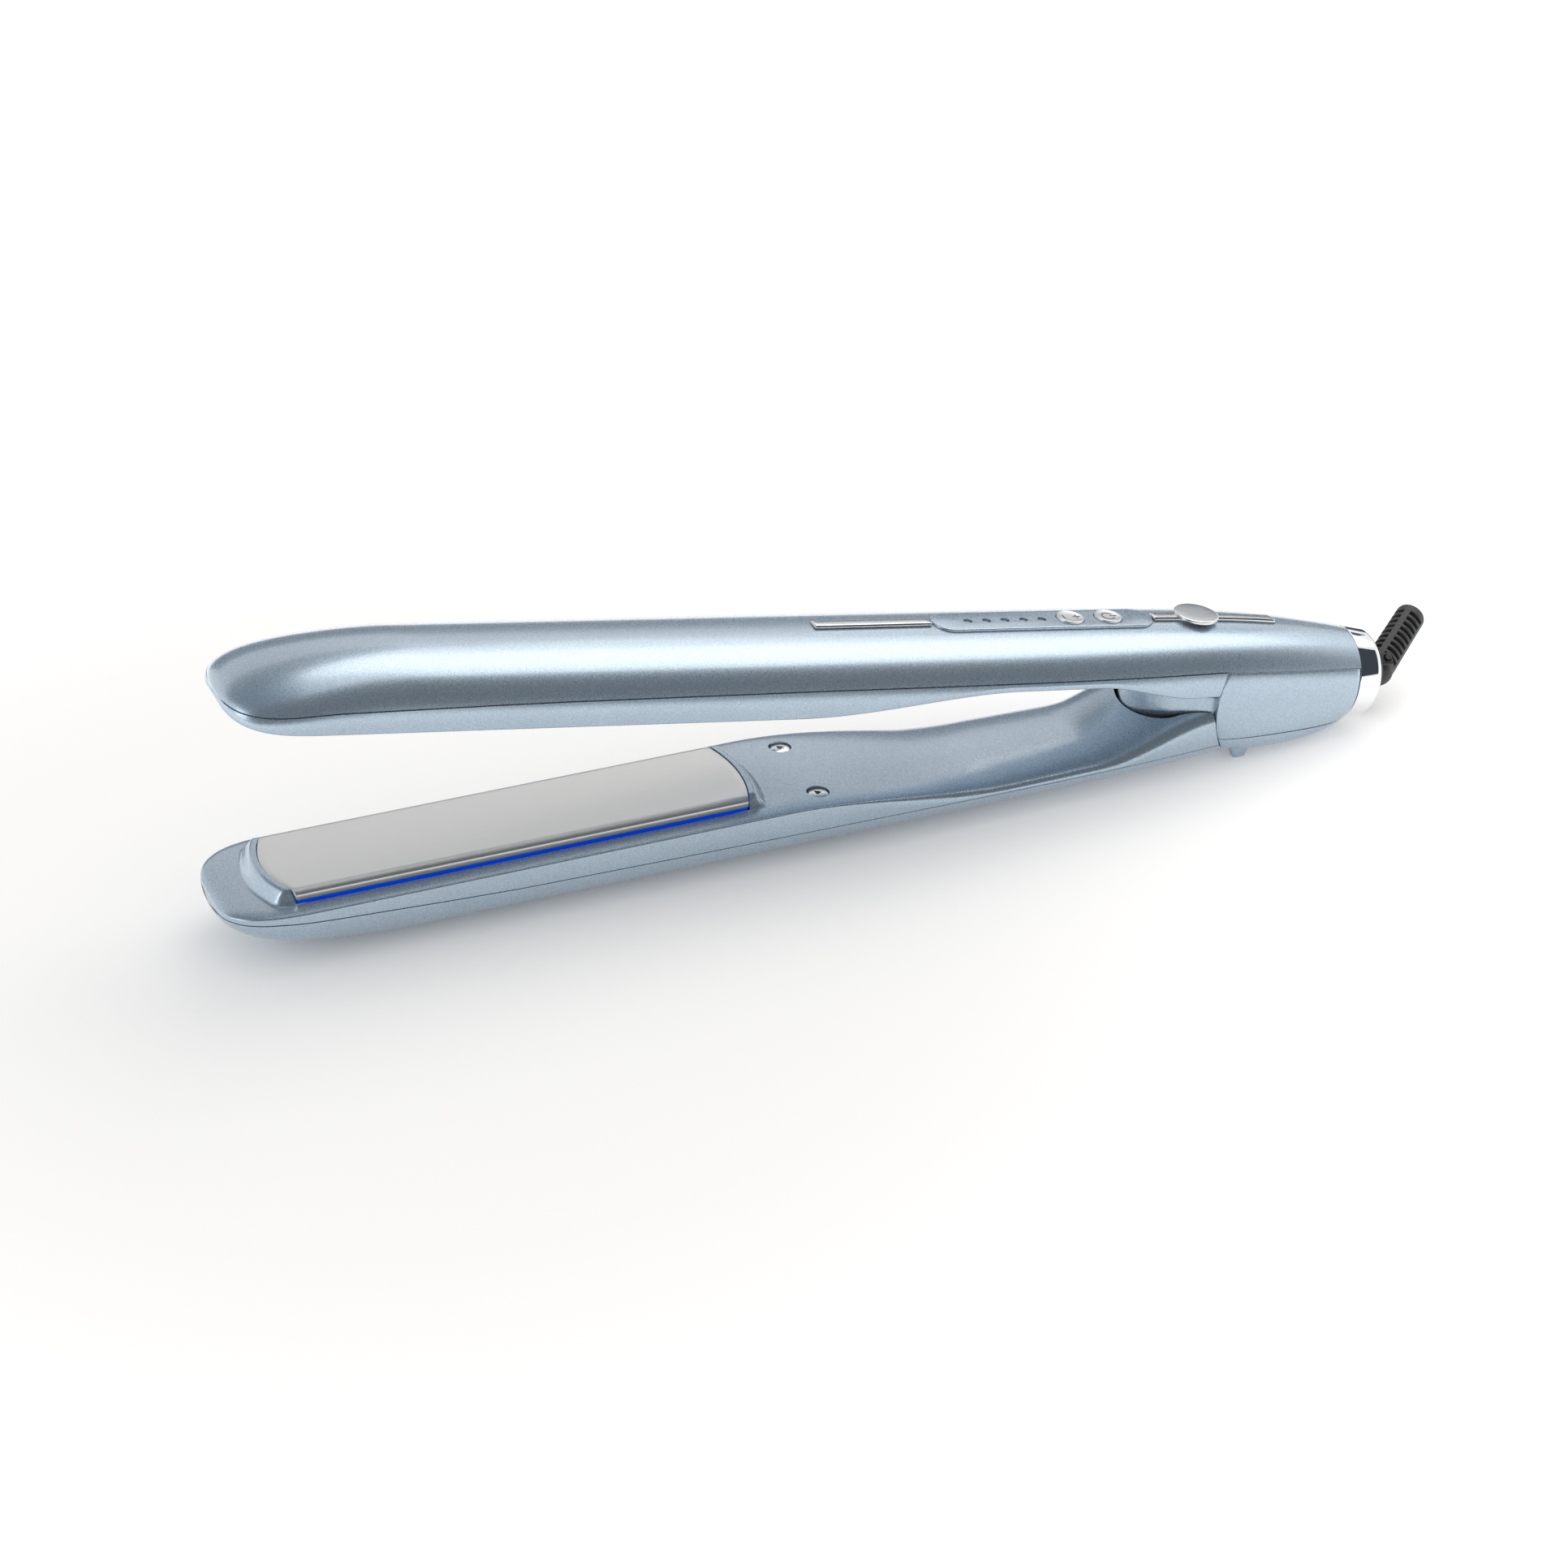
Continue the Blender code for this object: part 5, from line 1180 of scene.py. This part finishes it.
# Rail of the plate lock, a satin chrome strip that the knob slides along.
# Plated plastic let into the crest like the trim bar, with a slot for the stem of the knob.
stem_slot = stadium((-21.3 * MM, -13.9 * MM), 1.2 * MM, 12)
lock_rail = crest_strip("lock_rail_strip", rail_ends, trim_half, strip_low, trim_proud, trim_crown)
cut_through(lock_rail, "stem_slot", stem_slot, 0.0, cut_high)
ease_edges(lock_rail, 0.1 * MM, 2, 40)
lock_rail.data.transform(upper_place)
fit(lock_rail, 30, satin_chrome, body="upper_arm", node="lock_rail")

# Lock knob, a round disc that slides along the rail to hold the arms shut.
# Plated plastic with a satin, slightly domed face, a polished rim and a stem down to the slide.
knob_x = -20.1 * MM
knob_radius = 5.6 * MM
knob_low = back_depth(knob_x - knob_radius) + trim_proud - trim_crown
knob_top = knob_low + 0.9 * MM
rim_top, rim_rise, rim_round = knob_top - 0.35 * MM, 0.3 * MM, 0.4 * MM
stem_low, stem_radius = 12.5 * MM, 0.8 * MM
knob_profile = [(stem_low, 0.0), (stem_low, stem_radius), (knob_low, stem_radius),
                (knob_low, knob_radius - 0.3 * MM), (knob_low + 0.12 * MM, knob_radius),
                (rim_top, knob_radius)]
for turn in spread(0.0, math.pi / 2, 8)[1:]:
    knob_profile.append((rim_top + rim_rise * math.sin(turn), knob_radius - rim_round * (1 - math.cos(turn))))
knob_profile += [(knob_top - 0.02 * MM, 3.0 * MM), (knob_top, 0.0)]
lock_knob = turned_solid("lock_knob_disc", knob_profile, 128)
lock_knob.data.transform(upper_place @ upright_at(knob_x))
fit(lock_knob, 30, satin_chrome, body="lock_slider", node="lock_knob")

# Parts inside the case, kept as they are in the solid model.
# Blue resin carriers under the plates, given a painted glow, ceramic heaters, plated steel springs, hinge pin
# and fuses, nylon hinge lug, lock slide and switches, blackened tilt pins and the fibreglass control board.
blue_resin, resin_tree, resin_shader = new_material("blue_resin")
resin_noise = resin_tree.nodes.new("ShaderNodeTexNoise")
resin_noise.inputs["Scale"].default_value = 70.0
join(resin_tree, resin_tree.nodes.new("ShaderNodeTexCoord").outputs["Object"], resin_noise.inputs["Vector"])
deep_blue, bright_blue = (0.0, 0.045, 0.52, 1.0), (0.0, 0.075, 0.70, 1.0)
resin_colour = mixed_colour(resin_tree, resin_noise.outputs["Fac"], deep_blue, bright_blue)
join(resin_tree, resin_colour, resin_shader.inputs["Base Color"])
# The resin's colour also feeds its emission: a painted blue glow on a carrier that is no lamp.
join(resin_tree, resin_colour, resin_shader.inputs["Emission Color"])
set_sockets(resin_shader, {"Emission Strength": 0.25, "Roughness": 0.3})
heater_ceramic = cast_plastic("heater_ceramic", (0.75, 0.73, 0.68, 1.0), 0.55, 800.0, 0.1)
board_green = cast_plastic("circuit_board", (0.02, 0.16, 0.07, 1.0), 0.4, 400.0, 0.3)
kept = {"plate_carrier": blue_resin, "heater": heater_ceramic, "thermal_fuse": plated_steel,
        "plate_spring": plated_steel, "hinge_pin": plated_steel, "hinge_spring": plated_steel,
        "hinge_lug": black_nylon, "lock_slide": black_nylon, "temperature_switch": black_nylon,
        "power_switch": black_nylon, "control_board": board_green, "tilt_pin": black_nylon}
for name, finish in kept.items():
    for node in (name, f"lower_{name}", f"upper_{name}", f"{name}_lower", f"{name}_upper"):
        if node in nodes:
            finish_with(nodes[node], finish)

# Plain pale floor, a white surround, two soft lamps, and dark cards that show in the gloss.
# The floor and the surround are lifted to white only where they are seen,
# so that the light on the object stays plain.
floor_middle = (-0.12, 0.0, 0.0)
world_light, world_seen = 0.72, 0.28


def seen_share(tree):
    """One for rays from the camera, from gloss and through glass, and nought for other light."""
    path = tree.nodes.new("ShaderNodeLightPath").outputs
    share = math_node(tree, "MAXIMUM", path["Is Camera Ray"], path["Is Glossy Ray"])
    return math_node(tree, "MAXIMUM", share, path["Is Transmission Ray"])


bpy.ops.object.select_all(action="DESELECT")
bpy.ops.mesh.primitive_plane_add(size=12.0, location=(0.0, 0.0, 0.0))
floor = bpy.context.object
floor.name = "studio_floor"
floor_finish, floor_tree, floor_shader = new_material("pale_floor")
set_sockets(floor_shader, {"Base Color": (0.9, 0.9, 0.9, 1.0), "Roughness": 0.8, "Specular IOR Level": 0.1,
                           "Emission Color": (1.0, 1.0, 1.0, 1.0)})
floor_away = floor_tree.nodes.new("ShaderNodeVectorMath")
floor_away.operation = "DISTANCE"
floor_away.inputs[1].default_value = floor_middle
join(floor_tree, floor_tree.nodes.new("ShaderNodeTexCoord").outputs["Object"], floor_away.inputs[0])
# The lift grows with distance from the straightener: painted light that whitens the far floor where the lamps
# fall off, kept low nearby so that the real shadow stays.
floor_fade = floor_tree.nodes.new("ShaderNodeMapRange")
floor_fade.interpolation_type = "SMOOTHSTEP"
set_sockets(floor_fade, {"From Min": 0.10, "From Max": 0.50, "To Min": 0.11, "To Max": 0.75})
join(floor_tree, floor_away.outputs["Value"], floor_fade.inputs["Value"])
join(floor_tree, math_node(floor_tree, "MULTIPLY", seen_share(floor_tree), floor_fade.outputs["Result"]),
     floor_shader.inputs["Emission Strength"])
finish_with(floor, floor_finish)

world = bpy.data.worlds.new("studio")
bpy.context.scene.world = world
world.use_nodes = True
world_tree = world.node_tree
seen_gain = math_node(world_tree, "MULTIPLY", seen_share(world_tree), world_seen)
background = world_tree.nodes["Background"]
background.inputs["Color"].default_value = (1.0, 1.0, 1.0, 1.0)
join(world_tree, math_node(world_tree, "ADD", seen_gain, world_light), background.inputs["Strength"])


def softbox(name, place, size, energy, colour):
    """An area lamp that faces the middle of the straightener."""
    bpy.ops.object.light_add(type="AREA", location=place)
    lamp = bpy.context.object
    lamp.name = name
    lamp.data.shape = "RECTANGLE"
    lamp.data.size, lamp.data.size_y = size
    lamp.data.energy = energy
    lamp.data.color = colour
    lamp.rotation_euler = (Vector((-0.1, 0.0, 0.03)) - Vector(place)).to_track_quat("-Z", "Y").to_euler()


def dark_card(name, corners, shade_of_card):
    """A card that only shows in the gloss of the object."""
    bpy.ops.object.select_all(action="DESELECT")
    bpy.ops.mesh.primitive_plane_add(size=1.0)
    card = bpy.context.object
    card.name = name
    for point, corner in zip(card.data.vertices, corners):
        point.co = corner
    finish, tree, shader = new_material(name)
    set_sockets(shader, {"Base Color": (0.0, 0.0, 0.0, 1.0), "Specular IOR Level": 0.0,
                         "Emission Color": shade_of_card, "Emission Strength": 1.0})
    finish_with(card, finish)
    card.visible_camera = False
    card.visible_diffuse = False
    card.visible_transmission = False
    card.visible_shadow = False


softbox("overhead_softbox", (0.60, 0.42, 1.0), (1.1, 0.85), 4.9, (1.0, 0.955, 0.90))
softbox("side_softbox", (-1.0, -0.05, 0.50), (0.5, 0.5), 1.18, (1.0, 1.0, 1.0))
dark_card("front_card", [(-1.6, -1.1, 0.10), (1.6, -1.1, 0.10), (-1.6, -0.15, 1.15), (1.6, -0.15, 1.15)],
          (0.05, 0.06, 0.07, 1.0))
dark_card("rear_card", [(-1.6, 1.2, 0.90), (1.6, 1.2, 0.90), (-1.6, 1.05, 1.25), (1.6, 1.05, 1.25)],
          (0.10, 0.12, 0.14, 1.0))
dark_card("far_card", [(-0.4, 1.2, 0.05), (1.9, 1.2, 0.05), (-0.4, 1.2, 0.52), (1.9, 1.2, 0.52)],
          (0.07, 0.10, 0.13, 1.0))
dark_card("left_card", [(-1.2, -0.15, 1.15), (0.05, -0.15, 1.15), (-1.2, 0.9, 1.05), (0.05, 0.9, 1.05)],
          (0.12, 0.16, 0.20, 1.0))

# Camera at the photograph's angle, a metre off, with the focal length in pixels of the picture.
focal_pixels, picture_pixels = 5200.0, 1932.0
camera_turn = math.radians(-22.62)
camera_lift = math.radians(29.66)
camera_distance = 1.0106
target = hinge + Vector((-0.1264, 0.0, -0.00399))
bpy.ops.object.camera_add()
camera = bpy.context.object
camera.data.sensor_width = 36.0
camera.data.lens = camera.data.sensor_width * focal_pixels / picture_pixels
level = math.cos(camera_lift)
back = Vector((math.sin(camera_turn) * level, -math.cos(camera_turn) * level, math.sin(camera_lift)))
camera.location = target + back * camera_distance
camera.rotation_euler = (-back).to_track_quat("-Z", "Y").to_euler()
bpy.context.scene.camera = camera
